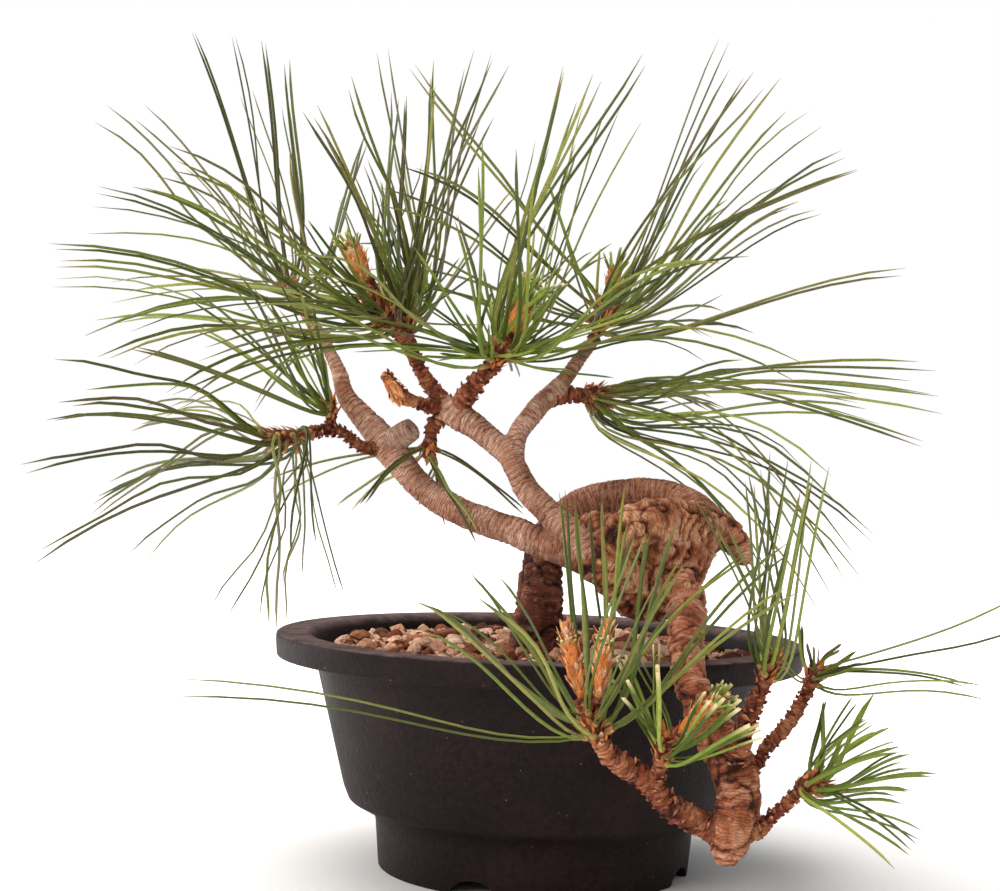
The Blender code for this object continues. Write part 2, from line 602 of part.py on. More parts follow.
def make_tuft(name, spec, crowd, finish):
    """A shoot with needles drawn out of its faces, so that the whole tuft is one closed solid."""
    points, faces, middles, normals = shoot_mesh(spec["at"], spec["heading"], *spec["core"])
    at, length = np.array(spec["at"], float), spec["length"]
    owner = "needles_" + name
    points, used, missed = points.tolist(), {}, 0
    for count, first, last, reach_first, reach_last, bow in spec["fans"]:
        for k in range(count):
            share = 0.5 if count == 1 else k / (count - 1)
            base_heading = first + (last - first) * share
            base_reach = reach_first + (reach_last - reach_first) * share
            for attempt in range(NEEDLE_ATTEMPTS):
                looseness = attempt / NEEDLE_ATTEMPTS
                heading = base_heading + rng.uniform(-1, 1) * (1.5 + 10 * looseness)
                reach = base_reach * (1 + rng.uniform(-1, 1) * 0.04)
                lean = math.degrees(math.acos(min(1.0, reach / (length * rng.uniform(0.94, 1.04)))))
                lean = min(62.0, lean) * (1 if (k + attempt) % 2 else -1)
                lean += rng.uniform(-1, 1) * (5 + 20 * looseness)
                aim = heading_vector(heading, lean)
                tip = at + aim * min(reach / math.cos(math.radians(lean)), max(1.08 * length, reach))
                order = np.argsort(-(normals @ aim))
                free = [i for i in order[:34] if all(
                    np.linalg.norm(middles[i] - middles[j]) > 1.55 for j in used)]
                if not free:
                    continue
                face = free[int(rng.uniform(0, min(len(free), 6)))]
                curve = needle_curve(middles[face], normals[face], tip, bow)
                if clear_of_pot(curve[1:]) and crowd.misses(curve, owner):
                    break
            else:
                missed += 1
                continue
            used[face] = curve
            crowd.add(curve, [NEEDLE_RADIUS] * len(curve), owner)
    faces_out = [face for i, face in enumerate(faces) if i not in used]
    for face, curve in used.items():
        ring = list(faces[face])
        spokes = np.array([points[i] for i in ring]) - middles[face]
        for step in range(1, len(curve)):
            along = curve[min(step + 1, len(curve) - 1)] - curve[step - 1]
            along /= np.linalg.norm(along)
            if step == len(curve) - 1:
                points.append(curve[step].tolist())
                tip = len(points) - 1
                faces_out += [(ring[k], ring[(k + 1) % 3], tip) for k in range(3)]
                break
            flat = spokes - np.outer(spokes @ along, along)
            flat /= np.linalg.norm(flat, axis=1)[:, None]
            following = []
            for spoke in flat:
                points.append((curve[step] + spoke * NEEDLE_RADIUS * (1.1 - 0.06 * step)).tolist())
                following.append(len(points) - 1)
            for k in range(3):
                n = (k + 1) % 3
                faces_out += [(ring[k], ring[n], following[n]), (ring[k], following[n], following[k])]
            ring = following
    add_object(owner, points, faces_out, finish)
    print(owner, len(used), "needles placed,", missed, "left out")


def make_foliage():
    green = material("pine_needle", (0.13, 0.20, 0.05), 0.55)
    papery = material("candle_scale", (0.50, 0.22, 0.08), 0.75)
    crowd = Crowd()
    for name, route in LIMBS.items():
        line = smooth_route(route, 5.0)
        crowd.add(line[:, :3], line[:, 3], name)
    centre, reach = np.array(KNOT_CENTRE, float), KNOT_RADII[0] * 0.12
    crowd.add([centre - (reach, 0, 0), centre + (reach, 0, 0)], [15.5, 15.5], "knot")
    for name, route in CANDLES.items():
        line = smooth_route(route, 3.0)
        crowd.add(line[:, :3], line[:, 3], name)
        candle = add_object(name, *limb_mesh(route, 7, 2.6, 0.10), papery)
        recalculate(candle)
        shade_round(candle)
    for name, spec in TUFTS.items():
        reach = heading_vector(*spec["heading"]) * spec["core"][1]
        crowd.add([spec["at"] - reach, spec["at"] + reach], [spec["core"][0]] * 2, "needles_" + name)
    for name, spec in TUFTS.items():
        make_tuft(name, spec, crowd, green)


# ---------------------------------------------------------------- build

for old in list(bpy.data.objects):
    bpy.data.objects.remove(old)
make_pot()
make_soil()
make_stones()
make_wood()
make_foliage()
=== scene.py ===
import math

import bmesh
import bpy
import numpy as np
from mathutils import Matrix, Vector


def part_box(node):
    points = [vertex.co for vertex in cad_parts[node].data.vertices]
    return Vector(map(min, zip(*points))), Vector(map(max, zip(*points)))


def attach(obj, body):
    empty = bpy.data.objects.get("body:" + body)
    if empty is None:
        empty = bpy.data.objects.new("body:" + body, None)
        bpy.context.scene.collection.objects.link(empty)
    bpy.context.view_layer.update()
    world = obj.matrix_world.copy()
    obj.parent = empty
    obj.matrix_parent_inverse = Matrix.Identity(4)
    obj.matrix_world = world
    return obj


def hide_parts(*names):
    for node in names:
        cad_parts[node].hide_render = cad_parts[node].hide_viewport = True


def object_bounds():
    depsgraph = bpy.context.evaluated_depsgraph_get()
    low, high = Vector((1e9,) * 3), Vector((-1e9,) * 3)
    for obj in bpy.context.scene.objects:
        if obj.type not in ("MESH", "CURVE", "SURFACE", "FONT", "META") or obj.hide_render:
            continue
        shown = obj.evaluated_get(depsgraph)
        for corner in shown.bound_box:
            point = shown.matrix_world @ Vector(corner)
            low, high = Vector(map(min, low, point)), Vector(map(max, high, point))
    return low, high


# A small knotted pine in a black plastic training pot. Lengths are in millimetres, measured in the
# frame, unless a name or a note says metres. Z is up and the front is towards -Y.

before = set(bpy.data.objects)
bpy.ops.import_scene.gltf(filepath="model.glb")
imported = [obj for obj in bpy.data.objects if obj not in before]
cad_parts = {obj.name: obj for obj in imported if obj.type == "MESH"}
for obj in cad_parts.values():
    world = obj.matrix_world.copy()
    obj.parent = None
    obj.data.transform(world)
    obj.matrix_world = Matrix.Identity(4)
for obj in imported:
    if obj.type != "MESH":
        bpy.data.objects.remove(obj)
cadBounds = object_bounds()
mm = 0.001
boxLow, boxHigh = (np.array(corner) / mm for corner in cadBounds)
potLow, potHigh = (np.array(corner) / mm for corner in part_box("pot"))
potAxis = (potLow + potHigh) / 2 * (1, 1, 0)  # the pot's middle line, where it meets the table
golden = math.pi * (3 - math.sqrt(5))  # the turn from one scale on a shoot to the next
offAxis = (0.31, 0.87, 0.38)  # a direction that no shoot or twig points in
random = np.random.default_rng(20)


# Numbers

def unit(vectors):
    return vectors / np.maximum(np.linalg.norm(vectors, axis=-1, keepdims=True), 1e-9)


def smoothStep(values, low, high):
    # 0 up to low, 1 from high on, and 3 t squared - 2 t cubed between them
    part = np.clip((values - low) / (high - low), 0, 1)
    return part * part * (3 - 2 * part)


def hashed(cells, seed):
    # a repeatable number from 0 to 1 for each cell of a grid, from its three whole numbers
    mixed = cells[..., 0] * 374761393 + cells[..., 1] * 668265263 + cells[..., 2] * 1442695041
    mixed = (mixed + seed * 1274126177) & 0xFFFFFFFF
    mixed = ((mixed ^ (mixed >> 13)) * 1274126177) & 0xFFFFFFFF
    return ((mixed ^ (mixed >> 16)) & 0xFFFFFF) / 0xFFFFFF


def lumps(points, size, seed=0):
    # smooth noise from -1 to 1: a random height at each corner of a grid of that cell size, blended
    scaled = np.asarray(points, float) / size
    base = np.floor(scaled).astype(np.int64)
    part = scaled - base
    part = part * part * (3 - 2 * part)
    total = np.zeros(scaled.shape[:-1])
    for corner in np.ndindex(2, 2, 2):
        weight = np.prod(np.where(corner, part, 1 - part), axis=-1)
        total += weight * hashed(base + np.array(corner), seed)
    return 2 * total - 1


def rough(points, size, octaves=3, seed=0):
    # noise on several scales, each half the size and a little over half the height of the last
    total = sum(0.55**k * lumps(points, size / 2**k, seed + k) for k in range(octaves))
    return total / sum(0.55**k for k in range(octaves))


def smoothRoute(rows, step):
    # points every step along a smooth curve through the rows, and any further columns with them
    rows = np.asarray(rows, float)
    ends = np.vstack([2 * rows[0] - rows[1], rows, 2 * rows[-1] - rows[-2]])
    pieces = [rows[:1]]
    for i in range(len(rows) - 1):
        a, b, c, d = ends[i : i + 4]
        spans = max(1, round(np.linalg.norm((c - b)[:3]) / step))
        t = (np.arange(1, spans + 1) / spans)[:, None]
        pieces.append(0.5 * (2 * b + (c - a) * t + (2 * a - 5 * b + 4 * c - d) * t**2
                             + (3 * b - a - 3 * c + d) * t**3))
    return np.vstack(pieces)


# Colours and materials

def linear(hexColour):
    # an sRGB hex colour as linear red, green, blue
    parts = np.array([int(hexColour[i : i + 2], 16) / 255 for i in (1, 3, 5)])
    return np.where(parts <= 0.04045, parts / 12.92, ((parts + 0.055) / 1.055) ** 2.4)


def rgba(hexColour):
    return (*linear(hexColour), 1.0)


def palette(hexColours):
    return np.array([linear(hexColour) for hexColour in hexColours])


def newMaterial(name):
    material = bpy.data.materials.new(name)
    material.use_nodes = True
    return material, material.node_tree, material.node_tree.nodes["Principled BSDF"]


def setInputs(tree, node, inputs):
    # an input takes a value, another node's socket, or a node, which stands for its first live socket
    for name, value in inputs.items():
        if isinstance(value, bpy.types.Node):
            value = next(socket for socket in value.outputs if socket.enabled)
        if isinstance(value, bpy.types.NodeSocket):
            tree.links.new(value, node.inputs[name])
        else:
            node.inputs[name].default_value = value


def addNode(tree, kind, inputs=None, stops=None, **settings):
    # one shader node: its settings, its inputs and a ramp's stops
    node = tree.nodes.new("ShaderNode" + kind)
    for name, value in settings.items():
        setattr(node, name, value)
    setInputs(tree, node, inputs or {})
    if stops:
        elements = node.color_ramp.elements
        elements.remove(elements[1])
        elements[0].position, elements[0].color = stops[0]
        for position, shade in stops[1:]:
            elements.new(position).color = shade
    return node


def grey(value):
    return (value, value, value, 1.0)


# Meshes

def makePiece(name, points, faces, materials, tints=None, values=None, sharpDeg=None):
    # an object at the origin from millimetre points, with a colour for each point where tints has it
    mesh = bpy.data.meshes.new(name)
    mesh.from_pydata((np.asarray(points) * mm).tolist(), [], faces)
    for material in materials:
        mesh.materials.append(material)
    if tints is not None:
        layer = mesh.attributes.new("tint", "FLOAT_COLOR", "POINT")
        layer.data.foreach_set("color", np.column_stack([tints, np.ones(len(tints))]).ravel())
    for key, column in (values or {}).items():
        mesh.attributes.new(key, "FLOAT", "POINT").data.foreach_set("value", column)
    mesh.shade_smooth()
    if sharpDeg:
        mesh.set_sharp_from_angle(angle=math.radians(sharpDeg))
    mesh.update()
    piece = bpy.data.objects.new(name, mesh)
    bpy.context.scene.collection.objects.link(piece)
    return piece


def finishPiece(piece, nodes=()):
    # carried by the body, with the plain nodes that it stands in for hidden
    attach(piece, "root")
    if nodes:
        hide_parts(*nodes)


def sectionRing(sides, startDeg=0.0, endDeg=360.0):
    # the corners of a round or half-round section of radius 1
    whole = abs(endDeg - startDeg - 360) < 1e-6
    turns = np.radians(np.linspace(startDeg, endDeg, sides, endpoint=not whole))
    return np.stack([np.cos(turns), np.sin(turns)], axis=1)


def sweepMany(lines, across, widths, depths, section):
    # Many small bodies at once: each is one section carried along its own line of points. across is a
    # side direction for each, and widths and depths are the section's half sizes at each point.
    along = unit(np.gradient(lines, axis=1))
    side = unit(across[:, None] - along * (along * across[:, None]).sum(-1, keepdims=True))
    rise = np.cross(along, side)
    points = (lines[:, :, None]
              + side[:, :, None] * (widths[..., None] * section[:, 0])[..., None]
              + rise[:, :, None] * (depths[..., None] * section[:, 1])[..., None])
    index = np.arange(np.prod(points.shape[:3])).reshape(points.shape[:3])
    near, far = index[:, :-1], index[:, 1:]
    quads = np.stack([near, np.roll(near, -1, 2), np.roll(far, -1, 2), far], axis=-1)
    faces = quads.reshape(-1, 4).tolist() + index[:, 0, ::-1].tolist() + index[:, -1].tolist()
    return points, faces


def joinBodies(parts):
    # several (points, faces, tints) made one list of each
    points, faces, tints, start = [], [], [], 0
    for partPoints, partFaces, partTints in parts:
        flat = partPoints.reshape(-1, 3)
        points.append(flat)
        faces += [[corner + start for corner in face] for face in partFaces]
        tints.append(np.broadcast_to(partTints, partPoints.shape).reshape(-1, 3))
        start += len(flat)
    return np.vstack(points), faces, np.vstack(tints)


def latheGrid(profile, turns):
    # a profile of (radius, height) rows turned about the pot's axis: x = r cos a, y = r sin a, z = height
    profile = np.asarray(profile, float)
    angles = np.linspace(0, 2 * math.pi, turns, endpoint=False)
    radius = profile[:, :1]
    return np.stack([radius * np.cos(angles), radius * np.sin(angles),
                     np.broadcast_to(profile[:, 1:], (len(profile), turns))], axis=-1)


def closeGrid(mesh):
    # merges the points that meet at a pole, within 0.002 mm, and turns the faces outwards
    work = bmesh.new()
    work.from_mesh(mesh)
    bmesh.ops.remove_doubles(work, verts=work.verts, dist=0.002 * mm)
    bmesh.ops.recalc_face_normals(work, faces=work.faces)
    if work.calc_volume(signed=True) < 0:
        bmesh.ops.reverse_faces(work, faces=work.faces)
    work.to_mesh(mesh)
    work.free()


def gridFaces(rows, columns):
    # the quads of a grid whose last column joins on to its first
    index = np.arange(rows * columns).reshape(rows, columns)
    below, above = index[:-1], index[1:]
    quads = np.stack([below, np.roll(below, -1, 1), np.roll(above, -1, 1), above], axis=-1)
    return quads.reshape(-1, 4).tolist()


def roundedProfile(rows, steps=4):
    # a profile of (radius, height, fillet) rows with each corner turned into a small curve
    rows = np.asarray(rows, float)
    out = [rows[0, :2]]
    for before, here, after in zip(rows[:-2], rows[1:-1], rows[2:]):
        back, on = before[:2] - here[:2], after[:2] - here[:2]
        reach = min(here[2], 0.45 * np.hypot(*back), 0.45 * np.hypot(*on))
        if reach < 0.02:
            out.append(here[:2])
            continue
        start, end = here[:2] + unit(back) * reach, here[:2] + unit(on) * reach
        for t in np.linspace(0, 1, steps + 1):
            out.append((1 - t) ** 2 * start + 2 * t * (1 - t) * here[:2] + t**2 * end)
    return np.array([*out, rows[-1, :2]])


# Camera, floor and lights

studio = {
    "cameraPlace": (-10.4, -600.0, 132.9),  # mm from the pot's axis
    "lens": 66.456, "sensor": 36.0, "yawDeg": -0.4, "pitchDeg": 0.26, "rollDeg": 1.73,
    "floorHalf": 4.0, "floorColour": "#f4f3f2",
    "nearGlow": 0.22,  # the floor's own light 0.15 m from the pot's axis, next to 1 at 0.5 m
    "backdrop": 1.0, "ambient": 0.36,  # how bright the white room looks, and how much it lights
    # each light: name, place and aim in metres, size in metres, power in watts, colour
    "lights": [
        ("topLight", (-0.35, 0.15, 1.35), (0.0, 0.0, 0.10), 1.0, 17.0, "#fffaf6"),
        ("frontLight", (-0.95, -1.25, 0.95), (0.0, 0.0, 0.12), 0.8, 15.0, "#fff6ee"),
        ("sideLight", (-1.1, 0.55, 0.35), (0.0, 0.0, 0.08), 0.6, 6.0, "#ffffff"),
    ],
}


def setStudio():
    # the camera looks towards +Y, turned by its yaw, then its pitch, then its roll
    yaw, pitch, roll = (math.radians(studio[key]) for key in ("yawDeg", "pitchDeg", "rollDeg"))
    right = np.array([math.cos(yaw), -math.sin(yaw), 0.0])
    level = np.array([math.sin(yaw), math.cos(yaw), 0.0])
    ahead = level * math.cos(pitch) + np.array([0, 0, math.sin(pitch)])
    rise = np.array([0, 0, math.cos(pitch)]) - level * math.sin(pitch)
    turned = np.eye(4)
    turned[:3, 0] = right * math.cos(roll) + rise * math.sin(roll)
    turned[:3, 1] = rise * math.cos(roll) - right * math.sin(roll)
    turned[:3, 2] = -ahead
    turned[:3, 3] = (np.array(studio["cameraPlace"]) + potAxis) * mm
    data = bpy.data.cameras.new("photoCamera")
    data.lens, data.sensor_width, data.clip_start = studio["lens"], studio["sensor"], 0.01
    camera = bpy.data.objects.new("photoCamera", data)
    camera.matrix_world = turned.T.tolist()
    bpy.context.scene.collection.objects.link(camera)
    bpy.context.scene.camera = camera

    half = studio["floorHalf"]
    mesh = bpy.data.meshes.new("floor")
    corners = [(-half, -half, 0), (half, -half, 0), (half, half, 0), (-half, half, 0)]
    mesh.from_pydata(corners, [], [(0, 1, 2, 3)])
    material, tree, shader = newMaterial("mattPaperFloor")  # matt white paper: no gloss, a faint tooth
    tooth = addNode(tree, "TexNoise", {"Scale": 60.0, "Detail": 3.0})
    shade = addNode(tree, "Mix", {0: tooth, 6: rgba(studio["floorColour"]), 7: grey(0.90)}, data_type="RGBA")
    # a lit sweep: past the plant the paper glows as white as the room behind it
    spot = addNode(tree, "TexCoord").outputs["Object"]
    away = addNode(tree, "VectorMath", {0: spot, 1: potAxis * mm}, operation="DISTANCE").outputs["Value"]
    glow = addNode(tree, "ValToRGB", {0: away}, [
        (0.052, grey(0.0)), (0.085, grey(0.08)), (0.15, grey(studio["nearGlow"])), (0.50, grey(1.0))])
    setInputs(tree, shader, {"Base Color": shade, "Roughness": 0.95, "Emission Color": grey(1.0),
                             "Emission Strength": glow})
    mesh.materials.append(material)
    floor = bpy.data.objects.new("floor", mesh)
    bpy.context.scene.collection.objects.link(floor)

    world = bpy.data.worlds.new("studioSky")
    world.use_nodes = True
    tree = world.node_tree
    seen = addNode(tree, "LightPath").outputs["Is Camera Ray"]
    strength = addNode(tree, "MapRange", {0: seen, 3: studio["ambient"], 4: studio["backdrop"]})
    setInputs(tree, tree.nodes["Background"], {"Color": grey(1.0), "Strength": strength})
    bpy.context.scene.world = world
    for name, place, aim, size, power, hexColour in studio["lights"]:
        lamp = bpy.data.lights.new(name, "AREA")
        lamp.size, lamp.energy, lamp.color = size, power, linear(hexColour)
        light = bpy.data.objects.new(name, lamp)
        away = unit(np.array(place) - np.array(aim))
        across = unit(np.cross((0, 0, 1), away))
        turned = np.eye(4)
        turned[:3] = np.column_stack([across, np.cross(away, across), away, place])
        light.matrix_world = turned.T.tolist()
        bpy.context.scene.collection.objects.link(light)
    bpy.context.scene.view_settings.view_transform = "Standard"
    print("studio set")


# Pot

potSizes = {
    "rimRadius": 85.0, "rimTop": 74.4, "rimDepth": 7.4, "opening": 75.0, "wall": 2.4,
    "neckRadius": 72.5, "shoulderRadius": 62.0, "shoulderTop": 26.0, "shoulderCrease": 20.0,
    "footRadius": 50.0, "footTop": 13.5, "floorUnderside": 5.5, "waistInside": (16.5, 22.0),
    "archHalfWidth": 8.5, "archHeight": 4.6, "archFirstDeg": -112, "turns": 384,
    "centreHole": 7.0, "smallHole": 4.0, "holeCircle": 30.0,
    "edge": 0.55,  # the rounding of moulded corners
    "rollFoot": 66.0,  # how high the rim's roll leaves the inside wall
}


def potWallOutside(z):
    # the wall's outer radius at a height: a straight taper from the shoulder to the neck
    skirt = potSizes["rimTop"] - potSizes["rimDepth"]
    share = (z - potSizes["shoulderTop"]) / (skirt - potSizes["shoulderTop"])
    return potSizes["shoulderRadius"] + share * (potSizes["neckRadius"] - potSizes["shoulderRadius"])


def potWallInside(z):
    # the wall's inner radius at a height: straight runs up the drum, out over the waist and up the taper
    low, high = potSizes["waistInside"]
    drum, wall = potSizes["footRadius"] - potSizes["wall"], potSizes["wall"]
    heights = (potSizes["floorUnderside"], low, high, potSizes["shoulderTop"], potSizes["rimTop"])
    radii = (drum, drum + 0.8, potSizes["shoulderRadius"] - 5.0, potSizes["shoulderRadius"] - wall,
             potWallOutside(potSizes["rimTop"]) - wall)
    return float(np.interp(z, heights, radii))


def mouldedPolypropylene():
    # Polypropylene, injection moulded and used: satin black with a brown cast. Dust greys what faces up,
    # fine specks and short scuffs catch the light, and the flow of the mould leaves a faint mottle.
    material, tree, shader = newMaterial("mouldedPolypropylene")
    place = addNode(tree, "TexCoord").outputs["Object"]
    facing = addNode(tree, "NewGeometry").outputs["Normal"]
    up = addNode(tree, "SeparateXYZ", {0: facing}).outputs["Z"]
    mottle = addNode(tree, "TexNoise", {"Vector": place, "Scale": 1 / 0.022, "Detail": 5.0, "Roughness": 0.6})
    base = addNode(tree, "ValToRGB", {0: mottle},
                   [(0.30, rgba("#150a0a")), (0.55, rgba("#1b0f0f")), (0.78, rgba("#251515"))])
    # the mould's leather grain: small cells a little lighter or darker than the rest
    grain = addNode(tree, "TexNoise",
                    {"Vector": place, "Scale": 1 / 0.0017, "Detail": 4.0, "Roughness": 0.65})
    depth = addNode(tree, "MapRange", {0: grain, 1: 0.32, 2: 0.68, 3: 0.35, 4: 1.45})
    base = addNode(tree, "Mix", {0: 1.0, 6: base, 7: depth}, data_type="RGBA", blend_type="MULTIPLY")
    # dust settles on the flat of the rim and thinly down the wall
    settled = addNode(tree, "MapRange", {0: up, 1: 0.55, 2: 0.98})
    patches = addNode(tree, "TexNoise",
                      {"Vector": place, "Scale": 1 / 0.006, "Detail": 6.0, "Roughness": 0.7})
    uneven = addNode(tree, "MapRange", {0: patches, 1: 0.36, 2: 0.66, 3: 0.15, 4: 0.75})
    dust = addNode(tree, "Math", {0: settled, 1: uneven}, operation="MULTIPLY")
    dusty = addNode(tree, "Mix", {0: dust, 6: base, 7: rgba("#8d7674")}, data_type="RGBA")
    film = addNode(tree, "TexNoise", {"Vector": place, "Scale": 1 / 0.045, "Detail": 4.0, "Roughness": 0.55})
    haze = addNode(tree, "MapRange", {0: film, 1: 0.46, 2: 0.72, 3: 0.0, 4: 0.07})
    hazy = addNode(tree, "Mix", {0: haze, 6: dusty, 7: rgba("#6d504c")}, data_type="RGBA")
    # specks of pale grit, a quarter to half a millimetre across
    cells = addNode(tree, "TexVoronoi", {"Vector": place, "Scale": 1 / 0.0034})
    dots = addNode(tree, "MapRange", {0: cells, 1: 0.03, 2: 0.075, 3: 0.6, 4: 0.0})
    chosen = addNode(tree, "MapRange", {0: cells.outputs["Color"], 1: 0.60, 2: 0.66})
    specks = addNode(tree, "Math", {0: dots, 1: chosen}, operation="MULTIPLY")
    specked = addNode(tree, "Mix", {0: specks, 6: hazy, 7: rgba("#a8958c")}, data_type="RGBA")
    # scuffs: noise drawn out sideways, so that it makes short level scratches, finer than a millimetre
    level = addNode(tree, "Mapping", {0: place, 3: (1.0, 1.0, 14.0)})
    scratch = addNode(tree, "TexNoise",
                      {"Vector": level, "Scale": 1 / 0.011, "Detail": 4.0, "Roughness": 0.75})
    lines = addNode(tree, "MapRange", {0: scratch, 1: 0.69, 2: 0.80, 3: 0.0, 4: 0.5})
    scuffed = addNode(tree, "Mix", {0: lines, 6: specked, 7: rgba("#8a7874")}, data_type="RGBA")
    sheen = addNode(tree, "MapRange", {0: mottle, 1: 0.3, 2: 0.7, 3: 0.52, 4: 0.68})
    dulled = addNode(tree, "Mix", {0: dust, 2: sheen, 3: 0.9})
    bump = addNode(tree, "Bump", {"Strength": 0.6, "Distance": 0.0005, "Height": grain})
    setInputs(tree, shader, {"Base Color": scuffed, "Roughness": dulled, "Normal": bump, "IOR": 1.49,
                             "Specular IOR Level": 0.15})
    return material


def makePot():
    # The profile goes up the outside, over the rim and down the inside, each corner with its fillet, and
    # is turned about the pot's axis. The rim's lip is an arc of an ellipse and the waist one of a circle.
    sizes = potSizes
    skirt, flange = sizes["rimTop"] - sizes["rimDepth"], sizes["rimTop"] - 2.3
    foot, shoulder, edge = sizes["footRadius"], sizes["shoulderRadius"], sizes["edge"]
    lip = [(sizes["opening"] + 1.2 - 5.0 * math.sin(t), sizes["rimTop"] - 6.0 * (1 - math.cos(t)), 0.4)
           for t in np.radians((0, 12, 25, 38, 50, 63, 75))]
    base = sizes["floorUnderside"]
    waist = [(foot + 7.2 - 6.0 * math.cos(t), sizes["footTop"] + 6.0 * math.sin(t), 0.4)
             for t in np.radians(np.linspace(12, 80, 7))]
    rows = [
        (0.0, base, 0), (foot - 3.2, base, 0.3), (foot - 3.2, 0.0, 0.4), (foot, 0.0, edge),
        (foot + 1.2, sizes["footTop"], 0.8), *waist,
        (shoulder - 1.8, sizes["shoulderCrease"] + 1.6, 0.7), (shoulder, sizes["shoulderTop"], 1.2),
        (potWallOutside(46), 46, 0.1), (sizes["neckRadius"], skirt, 0.4),
        (sizes["neckRadius"] + 1.4, flange, 1.0),
        (sizes["rimRadius"] - 2.2, flange, 0.4), (sizes["rimRadius"] - 2.2, skirt, 0.35),
        (sizes["rimRadius"] - 0.4, skirt, edge), (sizes["rimRadius"], sizes["rimTop"] - 3.0, 0.8),
        (sizes["rimRadius"], sizes["rimTop"], 1.9), *lip,
        (potWallInside(sizes["rollFoot"]), sizes["rollFoot"], 1.0),
        (potWallInside(sizes["shoulderTop"]), sizes["shoulderTop"], 0.8),
        *[(potWallInside(z), z, 0.5) for z in reversed(sizes["waistInside"])],
        (potWallInside(base + sizes["wall"]), base + sizes["wall"], 0.6), (0.0, base + sizes["wall"], 0),
    ]
    profile = roundedProfile(rows)
    grid = latheGrid(profile, sizes["turns"])
    # four arches under the foot: its lower edge is lifted to the top half of an ellipse
    angle = np.arctan2(grid[..., 1], grid[..., 0])
    radius = np.hypot(grid[..., 0], grid[..., 1])
    quarter = math.pi / 2
    away = (angle - math.radians(sizes["archFirstDeg"]) + quarter / 2) % quarter - quarter / 2
    share = np.clip(1 - (away * radius / sizes["archHalfWidth"]) ** 2, 0, 1)
    arch = (sizes["archHeight"] + 2) * np.sqrt(share) - 2
    under = (radius > foot - 8) & (grid[..., 2] < sizes["archHeight"])
    grid[..., 2] = np.where(under, np.maximum(grid[..., 2], arch), grid[..., 2])
    # a moulded wall is never quite true
    high = smoothStep(grid[..., 2], 20, 60)
    swell = 0.22 * high * np.sin(2 * angle + 0.6) + 0.12 * high * np.sin(5 * angle)
    grid[..., :2] *= (1 - np.abs(swell) / np.maximum(radius, 20))[..., None]
    pot = makePiece("trainingPot", grid.reshape(-1, 3) + potAxis, gridFaces(*grid.shape[:2]),
                    [mouldedPolypropylene()])
    closeGrid(pot.data)

    holes = [(0.0, 0.0, sizes["centreHole"])]
    holes += [(sizes["holeCircle"] * math.cos(t), sizes["holeCircle"] * math.sin(t), sizes["smallHole"])
              for t in np.radians(np.arange(0, 360, 60))]
    lines = np.array([[(x, y, base - 2), (x, y, base + sizes["wall"] + 2)] for x, y, _ in holes]) + potAxis
    radii = np.array([[r, r] for _, _, r in holes])
    points, faces = sweepMany(lines, np.tile([1.0, 0, 0], (len(holes), 1)), radii, radii, sectionRing(32))
    cutter = makePiece("drainCutter", points.reshape(-1, 3), faces, [])
    cut = pot.modifiers.new("drainHoles", "BOOLEAN")
    cut.operation, cut.object, cut.solver = "DIFFERENCE", cutter, "EXACT"
    bpy.context.view_layer.update()
    pot.data = bpy.data.meshes.new_from_object(pot.evaluated_get(bpy.context.evaluated_depsgraph_get()))
    pot.modifiers.clear()
    bpy.data.objects.remove(cutter)
    pot.data.shade_smooth()
    pot.data.set_sharp_from_angle(angle=math.radians(50))
    finishPiece(pot, ["pot"])
    print("pot made")


# Soil

soilLook = {
    "top": 69.2, "edgeGap": 0.5, "turns": 128, "stoneReach": 69.0,  # stones lie this far out at most
    "trunkMiddle": (0.0, -10.0), "trunkRadius": 10.5,
    "bigStones": 260, "bigSize": (2.1, 4.6), "smallStones": 1500, "smallSize": (0.7, 1.9),
    # pumice, fired clay, lava, bark crumbs: each with its share of the stones
    "colours": [("#e6c2ae", 0.20), ("#dcbba8", 0.12), ("#c79f88", 0.14), ("#a9755a", 0.14), ("#83503a", 0.13),
                ("#6b4030", 0.10), ("#54382c", 0.09), ("#ecd3c4", 0.08)],
    "topStones": ["#e9c9b6", "#dcb8a2", "#e2c3b0", "#a8765c", "#e6ccbc",  # top_stone_01 to top_stone_10
                  "#8a5a45", "#ddb9a6", "#e8cbb9", "#b98a72", "#e3c0ac"],
}


def icosphere(level):
    # a ball of even triangles: the directions of its points, and its faces
    work = bmesh.new()
    bmesh.ops.create_icosphere(work, subdivisions=level, radius=1.0)
    points = np.array([vert.co[:] for vert in work.verts])
    faces = [[vert.index for vert in face.verts] for face in work.faces]
    work.free()
    return unit(points), faces


def brokenStones(halfSizes, level, planes=11, seedShift=0):
    # Angular stones: along each direction the surface stops at the nearest of several random planes, so
    # the ball becomes a chipped lump with flat faces. Each is then stretched and turned at random.
    directions, faces = icosphere(level)
    count = len(halfSizes)
    normals = unit(random.normal(size=(count, planes, 3)))
    depth = random.uniform(0.62, 0.95, (count, planes))
    facing = np.einsum("vc,npc->nvp", directions, normals)
    reach = np.where(facing > 0.05, depth[:, None] / np.maximum(facing, 0.05), 9.0).min(-1)
    points = directions[None] * np.minimum(reach, 1.12)[..., None] * halfSizes[:, None]
    # pits and roughness in the broken faces
    offset = np.arange(count)[:, None, None] * 31.7 + seedShift
    points *= 1 + 0.05 * lumps(points + offset, 0.9, 7)[..., None]
    return points, faces


